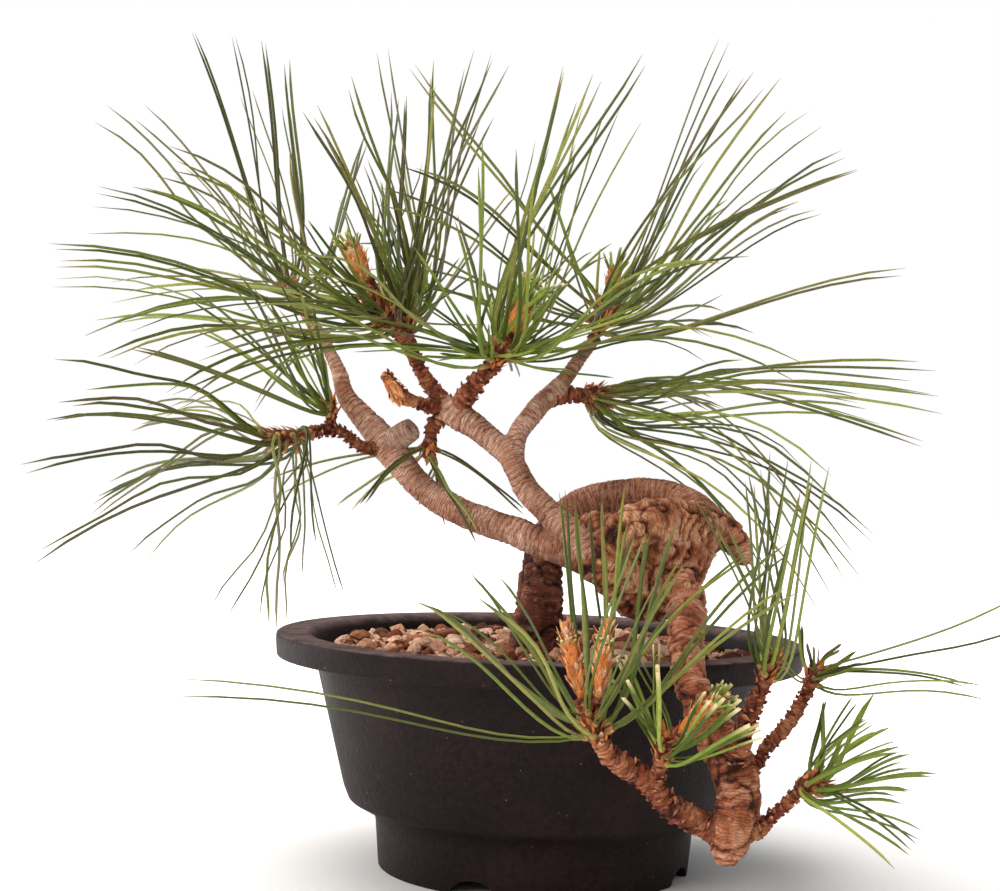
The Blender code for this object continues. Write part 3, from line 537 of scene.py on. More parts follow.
def turnedAtRandom(points, tilt):
    # turns each body by a random amount, about a random axis that is upright where tilt is 0
    count = len(points)
    axis = unit(random.normal(size=(count, 3)) * (tilt, tilt, 1.0))
    angle = random.uniform(0, 2 * math.pi, count)[:, None, None]
    axis = axis[:, None]
    cos, sin = np.cos(angle), np.sin(angle)
    dot = (points * axis).sum(-1, keepdims=True)
    return points * cos + np.cross(axis, points) * sin + axis * dot * (1 - cos)


def stoneColours(count):
    # a colour for each stone, picked by the shares and made a little lighter or darker
    shares = np.array([share for _, share in soilLook["colours"]])
    shades = palette([shade for shade, _ in soilLook["colours"]])
    picked = shades[random.choice(len(shades), count, p=shares / shares.sum())]
    return picked * random.uniform(0.82, 1.14, (count, 1)) * (1.06, 0.93, 0.82)


def grittySoil():
    # Bonsai grit: pumice, fired clay and lava, sieved and dry. Each stone has its own flat colour, with
    # open pores darkened to brown-black pinpricks by painted shade, and no gloss at all.
    material, tree, shader = newMaterial("dryGrit")
    place = addNode(tree, "TexCoord").outputs["Object"]
    tint = addNode(tree, "Attribute", attribute_name="tint").outputs["Color"]
    cloud = addNode(tree, "TexNoise",
                    {"Vector": place, "Scale": 1 / 0.0016, "Detail": 5.0, "Roughness": 0.65})
    shade = addNode(tree, "MapRange", {0: cloud, 1: 0.3, 2: 0.72, 3: 0.55, 4: 1.30})
    varied = addNode(tree, "Mix", {0: 1.0, 6: tint, 7: shade}, data_type="RGBA", blend_type="MULTIPLY")
    # pores half a millimetre across, a little coarser than the stone's own so that they show; painted
    # shade darkens each pore towards brown-black, as shadow in a hole would
    pores = addNode(tree, "TexVoronoi", {"Vector": place, "Scale": 1 / 0.0012})
    poreShade = addNode(tree, "MapRange", {0: pores, 1: 0.14, 2: 0.36, 3: 1.3, 4: 0.0})
    gate = addNode(tree, "Math", {0: poreShade, 1: cloud}, operation="MULTIPLY")
    poreShadedColour = addNode(tree, "Mix", {0: gate, 6: varied, 7: rgba("#4a2c20")}, data_type="RGBA")
    height = addNode(tree, "Math", {0: pores, 1: cloud}, operation="ADD")
    bump = addNode(tree, "Bump", {"Strength": 0.6, "Distance": 0.0004, "Height": height})
    setInputs(tree, shader, {"Base Color": poreShadedColour, "Normal": bump, "Roughness": 0.93,
                             "Specular IOR Level": 0.25})
    return material


def soilHeight(x, y):
    # the lie of the soil: a low crown round the trunk, small hollows, and a dip along the wall
    radius = np.hypot(x, y)
    flat = np.stack([x, y, np.zeros_like(x)], axis=-1)
    crown = 0.9 * np.exp(-((np.hypot(x, y + 10) / 26) ** 2))
    return soilLook["top"] - 0.6 + crown + 0.6 * lumps(flat, 17, 3) - 1.2 * smoothStep(radius, 60, 70)


def scatterOnSoil(count, sizes, spread, tries=40):
    # places on the soil, each kept clear of the larger stones set before it and of the trunk
    middle, placed, out = np.array(soilLook["trunkMiddle"]), np.empty((0, 3)), soilLook["stoneReach"]
    halves = np.sort(random.uniform(*sizes, count))[::-1]
    for half in halves:
        for _ in range(tries):
            turn, radius = random.uniform(0, 2 * math.pi), out * math.sqrt(random.uniform())
            spot = radius * np.array([math.cos(turn), math.sin(turn)])
            clearOfWall = radius + half * 0.85 < out + 0.3
            clearOfTrunk = np.hypot(*(spot - middle)) > soilLook["trunkRadius"] + half
            apart = np.hypot(*(placed[:, :2] - spot).T) - (placed[:, 2] + half) * spread
            if clearOfWall and clearOfTrunk and (apart > 0).all():
                placed = np.vstack([placed, [*spot, half]])
                break
    return placed


def makeSoil():
    # The bed is a turned profile whose top follows soilHeight, with fine crumbs. Loose stones of two
    # sizes are sunk part of the way into it.
    grit = grittySoil()
    base = potSizes["floorUnderside"] + potSizes["wall"] + 0.35
    heights = (base, *potSizes["waistInside"], potSizes["shoulderTop"], potSizes["rollFoot"])
    sides = [(potWallInside(z) - soilLook["edgeGap"], z) for z in heights]
    edge = sides[-1][0]
    rows = [(0.0, base)] + sides
    rows += [(radius, soilLook["top"] - 0.8) for radius in np.linspace(edge - 0.1, 0, 56)]
    grid = latheGrid(rows, soilLook["turns"])
    top = grid[len(sides) + 1 :]
    crumbs = 0.5 * rough(top, 2.4, 3, 11)
    top[..., 2] = soilHeight(top[..., 0], top[..., 1]) + crumbs - 0.7
    tone = lumps(grid, 3.0, 5)[..., None] * 0.25 + 0.8
    tints = (linear("#6a4434") * tone).reshape(-1, 3)
    bed = makePiece("gritBed", grid.reshape(-1, 3) + potAxis, gridFaces(*grid.shape[:2]), [grit], tints)
    closeGrid(bed.data)
    finishPiece(bed, ["soil_bed"])

    parts = []
    for count, sizes, level, spread, sink in (
        (soilLook["bigStones"], soilLook["bigSize"], 2, 0.80, 0.20),
        (soilLook["smallStones"], soilLook["smallSize"], 1, 0.55, 0.05),
    ):
        placed = scatterOnSoil(count, sizes, spread)
        halves = placed[:, 2:] * random.uniform((0.85, 0.65, 0.5), (1.1, 0.95, 0.8), (len(placed), 3))
        points, faces = brokenStones(halves, level, planes=11 if level > 1 else 7)
        points = turnedAtRandom(points, 0.35)
        height = soilHeight(placed[:, 0], placed[:, 1]) + (0.5 - sink) * placed[:, 2]
        if level == 1:
            height += random.uniform(-0.8, 1.4, len(placed))
        points += np.column_stack([placed[:, :2], height])[:, None] + potAxis
        index = np.arange(len(placed))[:, None, None] * points.shape[1] + np.array(faces)
        tints = np.repeat(stoneColours(len(placed))[:, None], points.shape[1], axis=1)
        parts.append((points, index.reshape(-1, 3).tolist(), tints))
    points, faces, tints = joinBodies(parts)
    loose = makePiece("looseGrit", points, faces, [grit], tints, sharpDeg=32)
    finishPiece(loose)
    return grit


def makeTopStones(grit):
    # the ten largest stones, each chipped to shape and set in the place of its plain solid
    for number, shade in enumerate(palette(soilLook["topStones"]), 1):
        node = f"top_stone_{number:02d}"
        low, high = (np.array(corner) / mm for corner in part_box(node))
        half = (high - low) / 2
        points, faces = brokenStones(np.ones((1, 3)), 4, planes=14, seedShift=number * 3.1)
        body = points[0]
        body = body / np.abs(body).max(0) * half
        body *= 1 - 0.05 * np.abs(rough(body + number * 17, 1.5, 4, number))[:, None]
        tints = shade * (1.06, 0.95, 0.86) * (1 + 0.16 * rough(body, 2.2, 3, number + 40))[:, None]
        stone = makePiece(f"pumiceStone{number:02d}", body + (low + high) / 2, faces, [grit], tints,
                          sharpDeg=38)
        finishPiece(stone, [node])
    print("soil and stones made")


# Wood

# Each limb: the kind of its bark, then a route of (x, y, z, radius) rows from root to tip, measured from
# the pot's axis.
limbs = {
    "roots": ("trunk", [(0, -10, 34, 5.0), (0, -10, 50, 7.5), (0, -10, 62, 9.4), (0, -10, 70, 10.0)]),
    "trunk": ("trunk", [
        (-1, -10, 64, 9.6), (-1, -9, 72, 8.6), (-0.5, -8, 83, 7.6), (0, -6, 94, 6.8), (1, -2, 103, 6.2),
        (5, 4, 110, 5.7)]),
    "arch": ("arch", [
        (1, -2, 103, 6.1), (5, 4, 110, 5.7), (13, 7, 117, 5.4), (26, 8, 120.5, 5.3), (38, 5, 121, 5.3),
        (47, -3, 118, 5.4), (52, -12, 113.5, 5.6), (50, -25, 108, 6.0)]),
    "knotHeel": ("fold", [(5, -4, 104, 5.4), (13, -17, 108, 6.2), (22, -27, 109, 7.0), (32, -34, 106, 7.0)]),
    "knotFront": ("fold", [
        (50, -23, 109, 6.0), (46, -36, 112, 6.6), (36, -44, 114, 7.0), (25, -47, 110, 7.2),
        (20, -45, 101, 7.0), (27, -46, 92, 7.0), (36, -47, 91, 6.8), (42, -50, 92, 6.0)]),
    "fallingBranch": ("old", [
        (40, -46, 95, 7.0), (42, -52, 90, 5.9), (42, -61, 86, 5.3), (40.5, -71.5, 81.6, 4.9),
        (40, -81.5, 76.4, 4.7), (41.5, -89, 69, 4.9), (46, -93.5, 60, 5.6), (51.5, -96, 51, 6.5),
        (53.5, -98, 42, 6.1), (52, -99, 33, 5.7), (51, -100, 27, 4.6), (51, -100, 23.5, 2.2)]),
    "knotStub": ("old", [(47, -18, 114, 6.0), (56, -22, 111, 5.2), (61, -24, 106, 3.8), (63, -25, 101, 2.0)]),
    "branchRoot": ("fold", [(33, -44, 96, 7.6), (25, -47, 97, 6.8), (17, -46, 100, 5.8), (9, -41, 104, 5.0)]),
    "leftBranch": ("branch", [
        (12, -43, 102.5, 5.2), (0, -36, 106, 4.7), (-8, -33, 109, 4.5), (-17, -30, 111.5, 4.4),
        (-26, -27, 114.5, 4.3), (-34, -24, 118.5, 4.3), (-40, -22, 123, 4.2), (-45, -20, 128.5, 4.4),
        (-50, -18, 134, 4.7), (-54, -17, 139, 4.4), (-59, -15, 144, 3.7), (-64, -13, 150, 3.0),
        (-67, -9, 158, 2.3), (-73, 0, 168, 2.0), (-80, 9, 177, 1.9), (-83.5, 13.5, 181, 1.8)]),
    "leftStump": ("cut", [(-50, -18, 134, 4.2), (-45, -21, 138, 4.0), (-42, -23, 140, 3.7)]),
    "leftTwig": ("twig", [
        (-53, -18, 133, 2.0), (-58, -25, 134, 1.8), (-63, -28, 138, 1.8), (-68, -31, 138.5, 1.9),
        (-73.5, -33, 137.5, 1.9)]),
    "middleBranch": ("branch", [
        (17, -46, 99, 5.6), (11.5, -44, 106, 4.7), (5.5, -41, 111.5, 4.2), (-0.5, -38, 117, 4.0),
        (-5.5, -35, 122, 3.8), (-9, -33, 128, 3.6), (-12, -31, 133, 3.5), (-17, -29, 137, 3.7),
        (-22, -27, 141, 4.0), (-27, -25, 144, 4.4), (-31, -24, 147, 4.2)]),
    "rightBranch": ("branch", [
        (-10, -31, 131, 3.2), (-9, -27, 139, 3.0), (-5, -23, 145, 3.1), (-2, -19, 149, 3.2),
        (2, -15, 153, 3.0), (6, -12, 158, 2.5), (10, -9, 164, 2.2), (14, -7, 169.5, 2.0)]),
    "rightStub": ("twig", [(0, -17, 151, 3.0), (5, -11, 152.5, 2.7), (9.5, -7, 152.5, 2.2)]),
    "crownTwig": ("twig", [
        (-29, -24, 145, 3.6), (-33, -23, 149, 2.6), (-37, -21, 154, 2.2), (-41, -19, 160, 2.1),
        (-43, -17, 165, 2.0), (-44.5, -15.5, 169, 1.8)]),
    "candleTwig": ("twig", [(-42, -18, 162, 1.9), (-45, -20, 167, 1.9), (-48, -21.5, 170, 1.8)]),
    "middleTwig": ("twig", [(-28, -25, 146, 3.4), (-23, -29, 154, 2.7), (-19, -33, 158, 2.3)]),
    "lowerSpur": ("twig", [(-31, -23, 146, 3.0), (-35.5, -19.5, 141.5, 2.4), (-36.3, -17.5, 138.8, 1.9)]),
    "rearSpur": ("twig", [(-32, -24, 147, 3.2), (-39, -27, 147.5, 2.0), (-43, -30, 149, 1.5)]),
    "frontTwig": ("twig", [
        (51, -99, 31, 4.4), (46, -99, 33, 3.4), (41, -101, 36, 3.4), (34, -103, 40, 3.3), (30, -104, 45, 3.2),
        (26, -105, 48, 3.1), (21, -107, 51.5, 3.0), (18, -108, 53.5, 2.6)]),
    "frontSpur": ("twig", [(30, -104, 44, 2.8), (30.5, -106, 47.5, 2.3), (31, -107.5, 49.5, 1.9)]),
    "uprightTwig": ("twig", [
        (52, -98, 50, 4.0), (53, -104, 58, 2.7), (55, -106, 65, 2.4), (57.3, -108, 71.5, 2.1)]),
    "upperRightTwig": ("twig", [
        (54, -97, 46, 2.8), (59, -93, 50, 1.9), (62, -90, 54, 1.8), (66, -88, 58, 1.8), (70, -86, 63, 1.8),
        (73.3, -84, 68.5, 1.8)]),
    "lowerRightTwig": ("twig", [
        (53, -99, 32, 3.0), (59, -100, 33, 1.8), (62, -101, 37, 1.7), (66, -102.5, 41, 1.7),
        (68, -103, 43.5, 1.7)]),
}

barkLook = {
    "grainMm": 0.65,  # the cell of the surface that the limbs are melted into
    "knotCentre": (34.5, -33, 104.5), "knotRadii": (16.5, 15.0, 15.8),
    "swirl": (25.0, -47.5, 104.0),  # where the knot's folds curl round
    # each kind: the rings' pitch and height in mm, how broken they are, then the crevice colour with
    # painted shade, the bark colour, and the ridge colour with painted highlight
    "kinds": {
        "trunk": (2.8, 1.2, 0.85, "#2c140e", "#774331", "#ad755c"),
        "arch": (2.0, 0.50, 0.3, "#4f2819", "#a3664a", "#cf9a7e"),
        "fold": (3.6, 1.2, 0.3, "#32140b", "#9a5734", "#dba67e"),
        "old": (2.7, 1.05, 0.7, "#3f1b0d", "#a65d3c", "#d9a582"),
        "branch": (1.9, 0.50, 0.6, "#56301f", "#a9745b", "#d8af98"),
        "cut": (2.0, 0.15, 0.6, "#7a5847", "#a98370", "#cbb09c"),
        "twig": (1.9, 0.8, 0.6, "#3d180c", "#824128", "#b27650"),
        "knot": (4.8, 2.1, 0.25, "#290f08", "#9c5632", "#e2b48c"),
    },
}


def pineBark():
    # Pine bark, young and flaky, on living wood: brown plates with a grey bloom on their outer faces,
    # rust red where a flake has come away, painted shade near black in the cracks, and dull all over.
    material, tree, shader = newMaterial("flakyPineBark")
    place = addNode(tree, "TexCoord").outputs["Object"]
    tint = addNode(tree, "Attribute", attribute_name="tint").outputs["Color"]
    ring = addNode(tree, "Attribute", attribute_name="ringAt").outputs["Fac"]
    # fine cracks across the limb 0.8 mm apart, wandering with the noise, darkened by painted shade
    wander = addNode(tree, "TexNoise", {"Vector": place, "Scale": 1 / 0.0035, "Detail": 3.0})
    shifted = addNode(tree, "Math", {0: wander, 1: 2.6, 2: ring}, operation="MULTIPLY_ADD")
    turned = addNode(tree, "Math", {0: shifted, 1: 2 * math.pi / 0.85}, operation="MULTIPLY")
    cracks = addNode(tree, "Math", {0: turned}, operation="SINE")
    thin = addNode(tree, "MapRange", {0: cracks, 1: 0.55, 2: 1.0})
    flakes = addNode(tree, "TexNoise",
                     {"Vector": place, "Scale": 1 / 0.0011, "Detail": 5.0, "Roughness": 0.7})
    shade = addNode(tree, "MapRange", {0: flakes, 1: 0.3, 2: 0.7, 3: 0.60, 4: 1.30})
    varied = addNode(tree, "Mix", {0: 1.0, 6: tint, 7: shade}, data_type="RGBA", blend_type="MULTIPLY")
    # painted shade: the cracks are mixed towards near black, as if in shadow
    gate = addNode(tree, "Math", {0: thin, 1: flakes}, operation="MULTIPLY")
    crackShadedBark = addNode(tree, "Mix", {0: gate, 6: varied, 7: rgba("#33190f")}, data_type="RGBA")
    bloom = addNode(tree, "TexNoise", {"Vector": place, "Scale": 1 / 0.0024, "Detail": 4.0, "Roughness": 0.6})
    pale = addNode(tree, "MapRange", {0: bloom, 1: 0.58, 2: 0.70, 3: 0.0, 4: 0.35})
    bloomed = addNode(tree, "Mix", {0: pale, 6: crackShadedBark, 7: rgba("#c3aa9c")}, data_type="RGBA")
    lift = addNode(tree, "Math", {0: thin, 1: -0.5, 2: flakes}, operation="MULTIPLY_ADD")
    bump = addNode(tree, "Bump", {"Strength": 0.75, "Distance": 0.0005, "Height": lift})
    setInputs(tree, shader, {"Base Color": bloomed, "Normal": bump, "Roughness": 0.86,
                             "Specular IOR Level": 0.3})
    return material


def measured(kind, rows):
    # a limb's kind, its rows and the length along them up to each
    steps = np.linalg.norm(np.diff(rows[:, :3], axis=0), axis=1)
    return kind, rows, np.concatenate([[0.0], np.cumsum(steps)])


def limbLines(ends):
    # every limb as points 1.5 mm apart: its kind, its (x, y, z, radius) rows and the length up to each,
    # then a short twig from the nearest of them to each end, which is the foot of a shoot or a candle
    out = [measured(kind, smoothRoute(route, 1.5) + (*potAxis, 0.0)) for kind, route in limbs.values()]
    for end in ends:
        rows = np.vstack([rows for _, rows, _ in out])
        start = rows[(np.linalg.norm(rows[:, :3] - end[:3], axis=1) - 0.8 * rows[:, 3]).argmin()]
        start = np.array([*start[:3], min(start[3], 1.25 * end[3])])
        out.append(measured("twig", smoothRoute([start, (start + end) / 2 - (0, 0, 0.3, 0.1), end], 1.0)))
    return out


def meltedWood(lines):
    # the limbs and the knot melted into one surface
    parts = []
    for _, rows, _ in lines:
        radii = rows[None, :, 3]
        sides = np.zeros((1, 3))
        sides[0, np.argmin(np.ptp(rows[:, :3], axis=0))] = 1.0
        points, faces = sweepMany(rows[None, :, :3], sides, radii, radii, sectionRing(28))
        parts.append((points, faces, (0, 0, 0)))
    points, faces = icosphere(5)
    parts.append((points * barkLook["knotRadii"] + barkLook["knotCentre"] + potAxis, faces, (0, 0, 0)))
    points, faces, _ = joinBodies(parts)
    wood = makePiece("wood", points, faces, [])
    melt = wood.modifiers.new("melt", "REMESH")
    melt.mode, melt.voxel_size = "VOXEL", barkLook["grainMm"] * mm
    bpy.context.view_layer.update()
    mesh = bpy.data.meshes.new_from_object(wood.evaluated_get(bpy.context.evaluated_depsgraph_get()))
    bpy.data.objects.remove(wood)
    return mesh


def relax(points, edges, rounds):
    # moves each point halfway to the middle of its neighbours
    counts = np.bincount(edges.ravel(), minlength=len(points))[:, None]
    for _ in range(rounds):
        total = np.zeros_like(points)
        for axis in range(3):
            total[:, axis] = (np.bincount(edges[:, 0], points[edges[:, 1], axis], len(points))
                              + np.bincount(edges[:, 1], points[edges[:, 0], axis], len(points)))
        points = 0.5 * points + 0.5 * total / counts
    return points


def nearestLimb(points, lines):
    # for each point: which limb's surface it lies on, and how far along that limb
    best = np.full(len(points), 1e9)
    kind, along = np.zeros(len(points), int), np.zeros(len(points))
    kinds = list(barkLook["kinds"])
    for number, (name, rows, lengths) in enumerate(lines):
        gaps = np.linalg.norm(points[:, None] - rows[None, :, :3], axis=2) - rows[None, :, 3]
        nearest = gaps.argmin(1)
        gap = gaps[np.arange(len(points)), nearest]
        tangents = unit(np.gradient(rows[:, :3], axis=0))
        onward = ((points - rows[nearest, :3]) * tangents[nearest]).sum(1)
        closer = gap < best
        best[closer], kind[closer] = gap[closer], kinds.index(name)
        along[closer] = (lengths[nearest] + onward)[closer] + 40.0 * number
    centre, radii = np.array(barkLook["knotCentre"]) + potAxis, np.array(barkLook["knotRadii"])
    gap = (np.linalg.norm((points - centre) / radii, axis=1) - 1) * radii.mean()
    closer = gap < best + 0.35
    kind[closer] = kinds.index("knot")
    swirl = np.linalg.norm((points - potAxis - barkLook["swirl"]) * (1.0, 0.8, 1.12), axis=1)
    along[closer] = swirl[closer]
    return kind, along


def makeWood(ends):
    # The melted surface is smoothed, then lifted along its normals by rings, noise, warts and creases,
    # and coloured by how far it was lifted, with painted shade where it sinks and painted highlight where it
    # rises.
    lines = limbLines(ends)
    mesh = meltedWood(lines)
    count = len(mesh.vertices)
    points = np.empty(count * 3, np.float32)
    mesh.vertices.foreach_get("co", points)
    points = points.reshape(-1, 3).astype(float) / mm
    edges = np.empty(len(mesh.edges) * 2, np.int32)
    mesh.edges.foreach_get("vertices", edges)
    points = relax(points, edges.reshape(-1, 2), 3)
    mesh.vertices.foreach_set("co", (points * mm).ravel())
    mesh.update()
    outward = np.empty(count * 3, np.float32)
    mesh.vertex_normals.foreach_get("vector", outward)
    outward = outward.reshape(-1, 3)

    kind, along = nearestLimb(points, lines)
    kinds = list(barkLook["kinds"])
    settings = list(barkLook["kinds"].values())
    pitch, height, broken = (np.array([row[i] for row in settings])[kind] for i in range(3))
    # crevice colours carry painted shade and ridge colours a painted highlight, over the bark's own shades
    creviceShade, bark, ridgeHighlight = (palette([row[i] for row in settings])[kind] for i in (3, 4, 5))
    # rings round a limb, or folds round the knot: the square root of a sine makes rounded ridges with
    # sharp valleys, which wander, fade and break up with noise
    wander = 1.3 * rough(points, 7.0, 3, 1) + 0.35 * rough(points, 2.0, 2, 4)
    wave = np.sqrt(np.abs(np.sin(math.pi * (along / pitch + wander))))
    fade = smoothStep(lumps(points, 4.5, 9), -0.9 + 0.9 * broken, 0.2 + 0.3 * broken)
    strength = 1 - broken * (1 - fade)
    lift = strength * (wave - 0.62) + 0.35 * rough(points, 1.7, 3, 14) + 0.45 * lumps(points, 5.5, 21)
    lift = height * lift
    warts = smoothStep(lumps(points, 2.6, 33), 0.55, 0.85)
    lift += 0.5 * height * warts
    # deep creases run where a wandering noise crosses zero: depth = e to the minus (noise / 0.07) squared
    crease = np.exp(-((rough(points, 8.0, 2, 71) / 0.07) ** 2))
    creased = np.array([row[1] for row in settings])[kind] > 0.7
    lift -= 0.75 * height * crease * creased
    points = points + outward * lift[:, None]
    mesh.vertices.foreach_set("co", (points * mm).ravel())

    # colour: the bark's own darker fissures and paler plates, deepened by painted shade in the valleys
    # and a painted highlight on what stands proud; redder low on the trunk, patchy throughout
    level = np.clip(0.5 + lift / np.maximum(1.3 * height, 0.05), 0, 1)[:, None]
    lower = creviceShade + (bark - creviceShade) * 2 * level
    colours = np.where(level < 0.5, lower, bark + (ridgeHighlight - bark) * (2 * level - 1))
    patch = rough(points, 9.0, 3, 51)[:, None]
    colours = colours * (1 + 0.22 * patch)
    lowOnTrunk = (smoothStep(points[:, 2], 98, 70) * (kind == kinds.index("trunk")))[:, None]
    colours = colours * (1 - lowOnTrunk * (1 - np.array([0.78, 0.60, 0.58])))
    mesh.attributes.new("tint", "FLOAT_COLOR", "POINT").data.foreach_set(
        "color", np.column_stack([np.clip(colours, 0, 1), np.ones(count)]).ravel())
    mesh.attributes.new("ringAt", "FLOAT", "POINT").data.foreach_set("value", along)
    mesh.materials.clear()
    mesh.materials.append(pineBark())
    mesh.shade_smooth()
    mesh.name = "knottedPine"
    wood = bpy.data.objects.new("knottedPine", mesh)
    bpy.context.scene.collection.objects.link(wood)
    finishPiece(wood, ["trunk_and_branches"])
    print("wood made:", count, "points")
    return lines


# Needles

needleLook = {
    "halfWidth": 0.57, "rings": 12,
    "shades": ["#4f5c1c", "#64702a", "#7a8235", "#8b8c42", "#44511a", "#6a7730"],
    "brownTip": "#8a6a3c", "brownEdge": "#5d4a3c", "sheath": "#7d4a2c", "sheathTip": "#b98d58",
    # tuft by tuft: the share of old needles, how much brighter, the share of extra needles filled in,
    # how many young ones and how far those lean in to the axis, the wave in mm, and blunt tips or not
    "tufts": {
        "crown_left": dict(old=0.75, bright=-0.15, extra=0.1),
        "crown_far_left": dict(old=0.35, bright=0.05, extra=0.0, young=18),
        "crown_centre_left": dict(old=0.55, bright=-0.10, extra=0.35, young=44, lean=0.25),
        "crown_centre": dict(old=0.25, bright=0.10, extra=0.15, young=64, lean=0.15),
        "crown_right": dict(old=0.45, bright=0.0, extra=0.0, young=14),
        "crown_far_right": dict(old=0.25, bright=0.08, extra=0.0, young=8),
        "fork_underside": dict(old=0.45, wave=0.9),
        "left_upright": dict(old=0.3, bright=0.05, extra=0.3, young=6),
        "left_low": dict(old=0.75, bright=-0.05, wave=1.0),
        "front": dict(old=0.1, bright=0.02),
        "front_inner": dict(old=0.0, bright=0.35, blunt=True),
        "front_upright": dict(old=0.1, bright=0.02),
        "right_upper": dict(old=0.4, bright=0.05),
        "right_lower": dict(old=0.0, bright=0.32),
    },
}


def needleGreen():
    # Pine needles, living: a leathery green skin with a wax bloom. Fine pale lines of pores run their
    # length, so the gloss is soft and broken.
    material, tree, shader = newMaterial("waxyPineNeedle")
    place = addNode(tree, "TexCoord").outputs["Object"]
    tint = addNode(tree, "Attribute", attribute_name="tint").outputs["Color"]
    cloud = addNode(tree, "TexNoise", {"Vector": place, "Scale": 1 / 0.0022, "Detail": 4.0, "Roughness": 0.6})
    shade = addNode(tree, "MapRange", {0: cloud, 1: 0.3, 2: 0.7, 3: 0.80, 4: 1.20})
    varied = addNode(tree, "Mix", {0: 1.0, 6: tint, 7: shade}, data_type="RGBA", blend_type="MULTIPLY")
    gloss = addNode(tree, "MapRange", {0: cloud, 1: 0.3, 2: 0.7, 3: 0.42, 4: 0.60})
    # pore lines 0.25 mm apart, read from the place on the needle's own section
    row = addNode(tree, "Attribute", attribute_name="poreLine").outputs["Fac"]
    lines = addNode(tree, "Math", {0: row, 1: 2 * math.pi / 0.25}, operation="MULTIPLY")
    wave = addNode(tree, "Math", {0: lines}, operation="SINE")
    bump = addNode(tree, "Bump", {"Strength": 0.25, "Distance": 0.0001, "Height": wave})
    setInputs(tree, shader, {"Base Color": varied, "Roughness": gloss, "Normal": bump, "IOR": 1.43,
                             "Specular IOR Level": 0.38})
    return material


def paperyScale():
    # Bud scales and needle sheaths, dry: thin rust-brown paper with frayed pale edges, fibres running
    # lengthways and no more than a dull sheen.
    material, tree, shader = newMaterial("paperyBudScale")
    place = addNode(tree, "TexCoord").outputs["Object"]
    tint = addNode(tree, "Attribute", attribute_name="tint").outputs["Color"]
    fibre = addNode(tree, "TexNoise", {"Vector": place, "Scale": 1 / 0.0007, "Detail": 4.0, "Roughness": 0.7})
    shade = addNode(tree, "MapRange", {0: fibre, 1: 0.3, 2: 0.7, 3: 0.62, 4: 1.35})
    varied = addNode(tree, "Mix", {0: 1.0, 6: tint, 7: shade}, data_type="RGBA", blend_type="MULTIPLY")
    bump = addNode(tree, "Bump", {"Strength": 0.5, "Distance": 0.0002, "Height": fibre})
    setInputs(tree, shader, {"Base Color": varied, "Normal": bump, "Roughness": 0.72,
                             "Specular IOR Level": 0.35})
    return material


def readSolid(node):
    # a plain solid's corners, merged, in millimetres, and its triangles
    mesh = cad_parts[node].data
    points = np.empty(len(mesh.vertices) * 3, np.float32)
    mesh.vertices.foreach_get("co", points)
    corners = np.empty(len(mesh.loops), np.int32)
    mesh.loops.foreach_get("vertex_index", corners)
    points = points.reshape(-1, 3).astype(float) / mm
    _, first, index = np.unique(np.round(points, 2), axis=0, return_index=True, return_inverse=True)
    return points[first], index.reshape(-1)[corners].reshape(-1, 3)


def readTuft(node):
    # A tuft's plain solid is an egg-shaped shoot with three-sided needles drawn out of it. A needle's tip
    # is a corner that only three triangles share, and its rings of three lead from there to the shoot.
    points, triangles = readSolid(node)
    near = np.zeros((len(points), len(points)), bool)
    for a, b in ((0, 1), (1, 2), (2, 0)):
        near[triangles[:, a], triangles[:, b]] = near[triangles[:, b], triangles[:, a]] = True
    inNeedle, needles = np.zeros(len(points), bool), []
    for tip in np.flatnonzero(near.sum(1) == 3):
        seen = np.zeros(len(points), bool)
        seen[tip] = True
        ring, line, members = near[tip] & ~seen, [points[tip]], [tip]
        while ring.sum() == 3 and len(line) < 6:
            line.append(points[ring].mean(0))
            if len(line) < 6:
                members += np.flatnonzero(ring).tolist()
            seen |= ring
            ring = near[ring].any(0) & ~seen
        if len(line) == 6:
            needles.append(line[::-1])
            inNeedle[members] = True
    shoot = points[~inNeedle]
    centre = shoot.mean(0)
    axes = np.linalg.svd(shoot - centre)[2]
    lines = np.array(needles)
    axis = axes[0] * np.sign((lines[:, -1].mean(0) - centre) @ axes[0])
    reach = np.abs((shoot - centre) @ axis).max()
    radius = np.linalg.norm((shoot - centre) - ((shoot - centre) @ axis)[:, None] * axis, axis=1).max()
    return {"lines": lines, "centre": centre, "axis": axis, "radius": radius, "half": reach}


def resample(lines, rings):
    # each needle's six points lie on one cubic curve: the same curve read at more places
    steps, finer = np.linspace(0, 1, lines.shape[1]), np.linspace(0, 1, rings)
    flat = lines.transpose(1, 0, 2).reshape(lines.shape[1], -1)
    cubic = np.polynomial.polynomial.polyfit(steps, flat, 3)
    read = np.polynomial.polynomial.polyval(finer, cubic)
    return read.reshape(lines.shape[0], 3, rings).transpose(0, 2, 1)


def filledOut(lines, share):
    # More lines between the ones there are: each blends a line with one of its three nearest neighbours,
    # a b + (1 - a) c, and stops short of their ends, so the tuft grows denser but no wider.
    count = round(len(lines) * share)
    if not count:
        return lines
    tips = unit(lines[:, -1] - lines[:, 0])
    nearby = np.argsort(-(tips @ tips.T), axis=1)[:, 1:4]
    first = random.integers(0, len(lines), count)
    second = nearby[first, random.integers(0, 3, count)]
    blend = random.uniform(0.25, 0.75, (count, 1, 1))
    added = resample(lines[first] * blend + lines[second] * (1 - blend), 40)
    stops = random.uniform(0.62, 0.97, (count, 1)) * np.linspace(0, 39, lines.shape[1])
    return np.concatenate([lines, added[np.arange(count)[:, None], np.round(stops).astype(int)]])


def nearEdge(tips):
    # tips that come within 1.5 mm of the whole plant's box
    return ((tips < boxLow + 1.5) | (tips > boxHigh - 1.5)).any(1)


